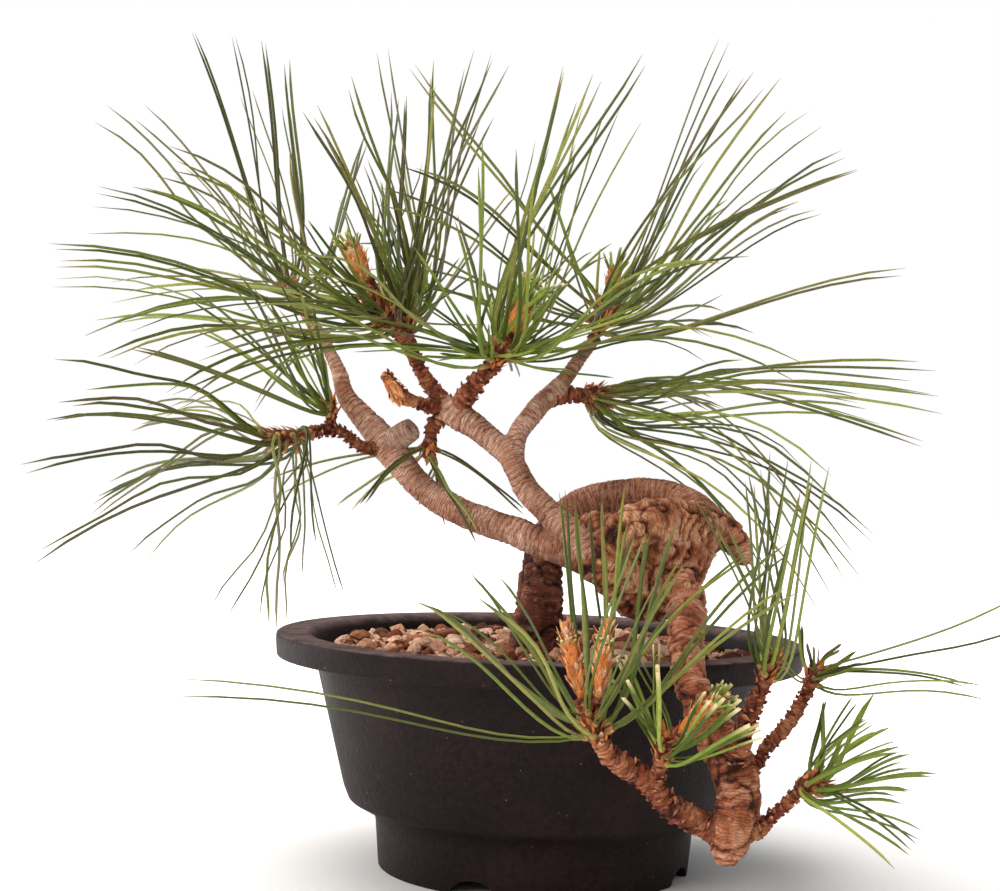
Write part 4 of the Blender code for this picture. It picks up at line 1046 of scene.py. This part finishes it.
def needlePairs(lines, look, spreadMm):
    # Two needles from each middle line. They part slowly, the gap growing as a power of the way along,
    # and each has its own slight wave, (1 - t) and t keeping both ends in place.
    count, rings = lines.shape[:2]
    t = np.linspace(0, 1, rings)
    along = unit(np.gradient(lines, axis=1))[:, rings // 2]
    apart = unit(np.cross(along, random.normal(size=(count, 3))))
    length = np.linalg.norm(lines[:, -1] - lines[:, 0], axis=1)[:, None]
    spread = random.uniform(*spreadMm, (count, 1)) * (length / 90)
    spread *= np.where(random.uniform(size=(count, 1)) < 0.25, 2.2, 1.0)  # a quarter of the pairs gape wide
    apart[nearEdge(lines[:, -1] + apart * spread)] *= -1
    spread[nearEdge(lines[:, -1] + apart * spread)] = 0.4
    first = lines - apart[:, None] * 0.30
    second = lines + apart[:, None] * (0.30 + spread * t**1.7)[..., None]
    both = np.concatenate([first, second])
    facing = np.concatenate([-apart, apart])
    directions = np.concatenate([along, along])
    wave = random.uniform(0.3, 1.8, 2 * count) + look.get("wave", 0.0) * random.uniform(0.4, 1.0, 2 * count)
    wave *= (np.linalg.norm(both[:, -1] - both[:, 0], axis=1) / 90) ** 1.5
    turns = random.uniform(0.5, 1.4 + 0.6 * look.get("wave", 0.0), (2 * count, 1))
    phase = random.uniform(0, 2 * math.pi, (2 * count, 1))
    sway = wave[:, None] * np.sin(2 * math.pi * turns * t + phase) * 4 * t * (1 - t)
    sideways = unit(np.cross(directions, random.normal(size=(2 * count, 3))))
    both = both + sideways[:, None] * (sway - sway[:, :1])[..., None]
    both[..., 2] = np.maximum(both[..., 2], 1.0)
    return both, np.cross(facing, directions)


def needleTints(count, rings, sides, look):
    # colour along and round each needle: pale at the sheath, its own green, brown at the last few
    # millimetres, and on an old needle a purple-brown edge on either side of the flat
    shades = palette(needleLook["shades"])
    own = shades[random.integers(0, len(shades), count)] * random.uniform(0.85, 1.15, (count, 1))
    bright = look.get("bright", 0.0) + random.uniform(-0.08, 0.08, (count, 1))
    own = own * (1 + np.array([0.55, 0.95, 0.20]) * bright)
    old = random.uniform(size=count) < look.get("old", 0.0)
    own[old] = own[old] * (0.70, 0.70, 0.72)
    t = np.linspace(0, 1, rings)[None, :, None, None]
    colours = np.broadcast_to(own[:, None, None], (count, rings, sides, 3)).copy()
    colours *= 1 + 0.30 * np.exp(-t / 0.12)
    edges = np.zeros((1, 1, sides, 1))
    edges[0, 0, [0, -1]] = 1.0
    browned = edges * (old[:, None, None, None] * 0.4 + 0.08)
    colours = colours * (1 - browned) + linear(needleLook["brownEdge"]) * browned
    tip = smoothStep(t, 0.955, 1.0) * random.uniform(0.3, 1.0, (count, 1, 1, 1))
    return colours * (1 - tip) + linear(needleLook["brownTip"]) * tip


def makeNeedles(name, lines, across, look, material, nodes):
    # Half-round bodies along the lines. A needle narrows by a fifth and rounds off to its point as the
    # square root of 1 - t to the twentieth. A blunt one widens slightly and ends in a pale cut tip.
    count, rings = lines.shape[:2]
    t = np.linspace(0, 1, rings)
    if look.get("blunt"):
        taper = (0.85 + 0.15 * t) * np.where(t < 1, 1.0, 0.9)
    else:
        taper = (1 - 0.20 * t) * np.sqrt(np.maximum(1 - t**20, 0.006)) * np.minimum(1, 0.8 + 3 * t)
    widths = needleLook["halfWidth"] * look.get("thin", 1.0) * random.uniform(0.88, 1.06, (count, 1)) * taper
    section = sectionRing(5, 0.0, 180.0)
    points, faces = sweepMany(lines, across, widths, widths, section)
    tints = needleTints(count, rings, len(section), look)
    if look.get("blunt"):
        tints[:, -1] = linear("#e6d3a0")
        tints[:, -2] = 0.5 * tints[:, -2] + 0.5 * linear("#c9c27e")
    rows = np.broadcast_to(section[:, 0] * needleLook["halfWidth"], points.shape[:3])
    piece = makePiece(name, points.reshape(-1, 3), faces, [material], tints.reshape(-1, 3),
                      {"poreLine": rows.ravel().astype(np.float32)}, sharpDeg=60)
    finishPiece(piece, nodes)
    return points


# Shoots

shootLook = {
    "scalePerMm": 3.6, "scaleLength": 3.6, "scaleWidth": 1.0, "scarPerMm": 2.6,
    "deep": "#5b2b18", "rust": "#a45c30", "orange": "#d5803f", "pale": "#e3b27e", "cream": "#f1debd",
    "scarDark": "#582615", "scar": "#92492b", "scarPale": "#bf8560",
}


def scaleBodies(bases, outward, onward, lengths, halfWidths, lift, shades, tipShades, thick=0.16):
    # Papery scales, each a thin lance: its line leaves the stem at the lift angle and curls back towards
    # the stem's own direction, its half width rises and falls as a sine, and its section is a flat diamond.
    t = np.linspace(0, 1, 5)
    rise = (np.sin(lift)[:, None] * t - 0.25 * np.sin(lift)[:, None] * t**2)[..., None]
    reach = (np.cos(lift)[:, None] * t)[..., None]
    lines = bases[:, None] + lengths[:, None, None] * (outward[:, None] * rise + onward[:, None] * reach)
    profile = np.array([0.55, 1.0, 0.9, 0.55, 0.08])
    widths = halfWidths[:, None] * profile
    depths = np.full_like(widths, thick) * np.array([1.2, 1.0, 0.8, 0.6, 0.3])
    section = np.array([(1, 0), (0, 1), (-1, 0), (0, -1)], float)
    points, faces = sweepMany(lines, np.cross(onward, outward), widths, depths, section)
    blend = (t**1.6)[None, :, None, None]
    tints = shades[:, None, None] * (1 - blend) + tipShades[:, None, None] * blend
    return points, faces, np.broadcast_to(tints, points.shape)


def roundDirections(axis, count, startTurn=0.0):
    # directions round a stem, each a golden angle on from the last; the stem's own may change on the way
    side = unit(np.cross(axis, offAxis))
    other = np.cross(axis, side)
    turns = startTurn + golden * np.arange(count)
    return np.cos(turns)[:, None] * side + np.sin(turns)[:, None] * other


def mixedShades(count, names, spread=0.16):
    # for each scale one of the named shades, a little lighter or darker
    shades = palette([shootLook[name] for name in names])
    return shades[random.integers(0, len(shades), count)] * (1 + random.uniform(-spread, spread, (count, 1)))


def shootBody(centre, axis, radius, half, shade):
    # a lumpy egg: the radius is the square root of 1 - u squared along its axis
    u = np.linspace(-1, 1, 13)
    line = centre + axis * (u * half)[:, None]
    widths = radius * np.sqrt(np.maximum(1 - u**2, 0.01)) * 0.92
    across = unit(np.cross(axis, offAxis))[None]
    points, faces = sweepMany(line[None], across, widths[None], widths[None], sectionRing(12))
    points = points + 0.3 * lumps(points, 1.6, 5)[..., None] * unit(points - centre)
    return points, faces, linear(shade)


def makeShoot(name, tuft, material):
    # the end of a twig that carries a tuft: a short body wrapped in scales, and a sheath to each bundle
    centre, axis, radius, half = (tuft[key] for key in ("centre", "axis", "radius", "half"))
    parts = [shootBody(centre, axis, radius, half, shootLook["deep"])]
    count = int(2 * half * shootLook["scalePerMm"])
    u = np.linspace(-1.0, 0.92, count)
    outward = roundDirections(axis, count)
    stem = radius * np.sqrt(np.maximum(1 - u**2, 0.05))
    bases = centre + axis * (u * half)[:, None] + outward * (stem * 0.85)[:, None]
    parts.append(scaleBodies(
        bases, outward, unit(axis + random.normal(scale=0.2, size=outward.shape)),
        shootLook["scaleLength"] * random.uniform(0.6, 1.5, count),
        shootLook["scaleWidth"] * random.uniform(0.4, 0.9, count), np.radians(random.uniform(12, 55, count)),
        mixedShades(count, ["deep", "rust", "orange"]), mixedShades(count, ["rust", "orange", "pale"])))
    lines = tuft["lines"]
    reach = np.linspace(0, 0.055, 5)
    finer = resample(lines, 60)
    inside = lines[:, :1] - unit(finer[:, 3:4] - finer[:, :1]) * 1.2
    sheath = np.concatenate([inside, finer[:, np.round(reach * 59).astype(int)[1:]]], axis=1)
    sheathCount = len(lines)
    widths = np.array([0.8, 1.0, 0.98, 0.9, 0.8]) * random.uniform(0.85, 1.1, (sheathCount, 1))
    points, faces = sweepMany(sheath, random.normal(size=(sheathCount, 3)), widths, widths, sectionRing(6))
    t = np.linspace(0, 1, 5)[None, :, None, None]
    tints = linear(needleLook["sheath"]) * (1 - t) + linear(needleLook["sheathTip"]) * t
    tints = tints * random.uniform(0.7, 1.15, (sheathCount, 1, 1, 1))
    parts.append((points, faces, np.broadcast_to(tints, points.shape)))
    points, faces, tints = joinBodies(parts)
    piece = makePiece(name, points, faces, [material], tints, sharpDeg=50)
    finishPiece(piece)


def makeScars(lines, papery):
    # leaf scars: the thick blunt feet of fallen needle bundles, wound round every twig
    parts = []
    for kind, rows, lengths in lines:
        count = int(lengths[-1] * shootLook["scarPerMm"]) if kind == "twig" else 0
        if count < 2:
            continue
        at = np.linspace(0, lengths[-1], count)
        tangents = unit(np.gradient(rows[:, :3], axis=0))
        spots = np.stack([np.interp(at, lengths, column) for column in np.hstack([rows, tangents]).T], axis=1)
        onward = unit(spots[:, 4:])
        outward = roundDirections(onward, count)
        size = np.clip(spots[:, 3] / 2.2, 0.6, 1.2)
        parts.append(scaleBodies(
            spots[:, :3] + outward * spots[:, 3:4] * 0.86 - onward * 0.8, outward, onward,
            size * random.uniform(1.0, 2.0, count), size * random.uniform(0.8, 1.5, count),
            np.radians(random.uniform(25, 80, count)), mixedShades(count, ["scarDark", "scar"]),
            mixedShades(count, ["scarDark", "scar", "scarPale"], 0.3), 0.5))
    points, faces, tints = joinBodies(parts)
    scars = makePiece("leafScars", points, faces, [papery], tints, sharpDeg=50)
    finishPiece(scars)


def youngLines(tuft, chosen, lean):
    # this year's needles: a quarter to a half as long as the chosen ones, and leaning in to the axis by
    # the given share, with some scatter where the lean is slight
    stops = random.uniform(0.22, 0.58, (len(chosen), 1)) * np.linspace(0, 59, needleLook["rings"])
    lines = resample(tuft["lines"][chosen], 60)[np.arange(len(chosen))[:, None], np.round(stops).astype(int)]
    lengths = np.linalg.norm(lines - lines[:, :1], axis=2)[..., None]
    scatter = random.normal(scale=0.55 - 0.45 * lean, size=(len(chosen), 1, 3))
    leaning = unit(lines - lines[:, :1] + 1e-6) + lean * tuft["axis"] + scatter
    return lines[:, :1] + unit(leaning) * lengths


def makeTufts(tufts, green, papery):
    # each tuft: a pair of needles for every line, then its young needles and its shoot
    for name, look in needleLook["tufts"].items():
        tuft = tufts[name]
        tuft["lines"] = filledOut(tuft["lines"], look.get("extra", 0.0))
        lines = resample(tuft["lines"], needleLook["rings"])
        both, across = needlePairs(lines, look, (1.5, 8.0))
        makeNeedles(name + "Needles", both, across, look, green, ["needles_" + name])
        if look.get("young"):
            first = random.integers(0, len(tuft["lines"]), look["young"])
            shorter = youngLines(tuft, first, look.get("lean", 0.6))
            facing = unit(np.cross(shorter[:, -1] - shorter[:, 0], random.normal(size=(len(first), 3))))
            makeNeedles(name + "Young", shorter, facing, {"bright": 0.35}, green, ())
        makeShoot(name + "Shoot", tuft, papery)
        print(name, len(lines), "bundles")


# Candles

candleLook = {
    # which tuft each new shoot stands by, how far its scales open in degrees, the length and number of
    # the young needles at its tip, and its colours
    "candle_far_left": ("crown_far_left", 62, 8, 12, ["orange", "pale"], ["cream", "pale"]),
    "candle_centre": ("crown_centre", 40, 14, 20, ["orange", "rust"], ["pale", "orange"]),
    "candle_right": ("crown_right", 45, 9, 12, ["rust", "orange"], ["orange", "pale"]),
    "candle_front_left": ("front", 34, 4, 12, ["orange", "rust"], ["orange", "pale", "cream"]),
    "candle_front_right": ("front", 30, 4, 12, ["orange", "orange"], ["orange", "pale", "cream"]),
    "candle_front_inner": ("front_inner", 40, 8, 20, ["orange", "rust"], ["pale", "orange", "cream"]),
    "candle_fork": ("left_upright", 36, 0, 0, ["rust", "orange"], ["pale", "orange"]),
}


def readCandle(node, tuft):
    # a candle's foot, direction, length and radius, from the long axis of its plain solid
    points, _ = readSolid(node)
    centre = points.mean(0)
    axis = np.linalg.svd(points - centre)[2][0]
    axis = axis * np.sign((centre - tuft["centre"]) @ axis)
    at = (points - centre) @ axis
    radius = np.linalg.norm((points - centre) - at[:, None] * axis, axis=1).max()
    return {"foot": centre + axis * at.min(), "axis": axis,
            "length": 1.2 * np.ptp(at), "radius": 1.15 * radius}


def makeCandles(candles, papery, green):
    # a lumpy stem, scales that each stand open by up to the candle's own angle, and short needles at its tip
    for node, (_, openDeg, youngLength, youngCount, stemShades, tipShades) in candleLook.items():
        foot, axis, length, radius = (candles[node][key] for key in ("foot", "axis", "length", "radius"))
        parts = [shootBody(foot + axis * length / 2, axis, radius * 0.8, length / 2, shootLook["orange"])]
        count = int(length * 10)
        u = random.uniform(0, 1, count) ** 0.9 * 0.96
        outward = roundDirections(axis, count, 1.0)
        stem = radius * 0.7 * np.sqrt(np.maximum(1 - (2 * u - 1) ** 2, 0.12))
        bases = foot + axis * (length * u)[:, None] + outward * (stem * 0.8)[:, None]
        lengths = np.minimum(4.6, 0.5 * length) * random.uniform(0.45, 1.3, count) * (1 - 0.4 * u)
        leaning = unit(axis + random.normal(scale=0.18, size=(count, 3)))
        parts.append(scaleBodies(
            bases, outward, leaning, lengths, random.uniform(0.35, 0.95, count),
            np.radians(random.uniform(0.1, 1.0, count) * openDeg),
            mixedShades(count, stemShades), mixedShades(count, tipShades)))
        points, faces, tints = joinBodies(parts)
        piece = makePiece(node.replace("candle_", "candle"), points, faces, [papery], tints, sharpDeg=50)
        finishPiece(piece, [node])
        if youngCount:
            outward = roundDirections(axis, youngCount)
            heading = unit(axis + outward * random.uniform(0.1, 0.65, (youngCount, 1)))
            t = np.linspace(0, 1, needleLook["rings"])[None, :, None]
            reach = youngLength * random.uniform(0.6, 1.1, (youngCount, 1, 1))
            lines = foot + axis * length * 0.7 + outward[:, None] * 0.8 + heading[:, None] * reach * t
            lines = lines + outward[:, None] * 0.12 * reach * t**2
            look = {"bright": 0.6, "blunt": True, "thin": 0.85}
            makeNeedles(node.replace("candle_", "young"), lines, np.cross(outward, heading), look, green, ())
    print("candles made")


setStudio()
makePot()
grit = makeSoil()
makeTopStones(grit)
green, papery = needleGreen(), paperyScale()
tufts = {name: readTuft("needles_" + name) for name in needleLook["tufts"]}
candles = {node: readCandle(node, tufts[look[0]]) for node, look in candleLook.items()}
ends = [np.array([*(tuft["centre"] - 0.3 * tuft["half"] * tuft["axis"]), 0.8 * tuft["radius"]])
        for tuft in tufts.values()]
ends += [np.array([*(candle["foot"] + 0.6 * candle["axis"]), 0.7 * candle["radius"]])
         for candle in candles.values()]
makeScars(makeWood(ends), papery)
makeTufts(tufts, green, papery)
makeCandles(candles, papery, green)
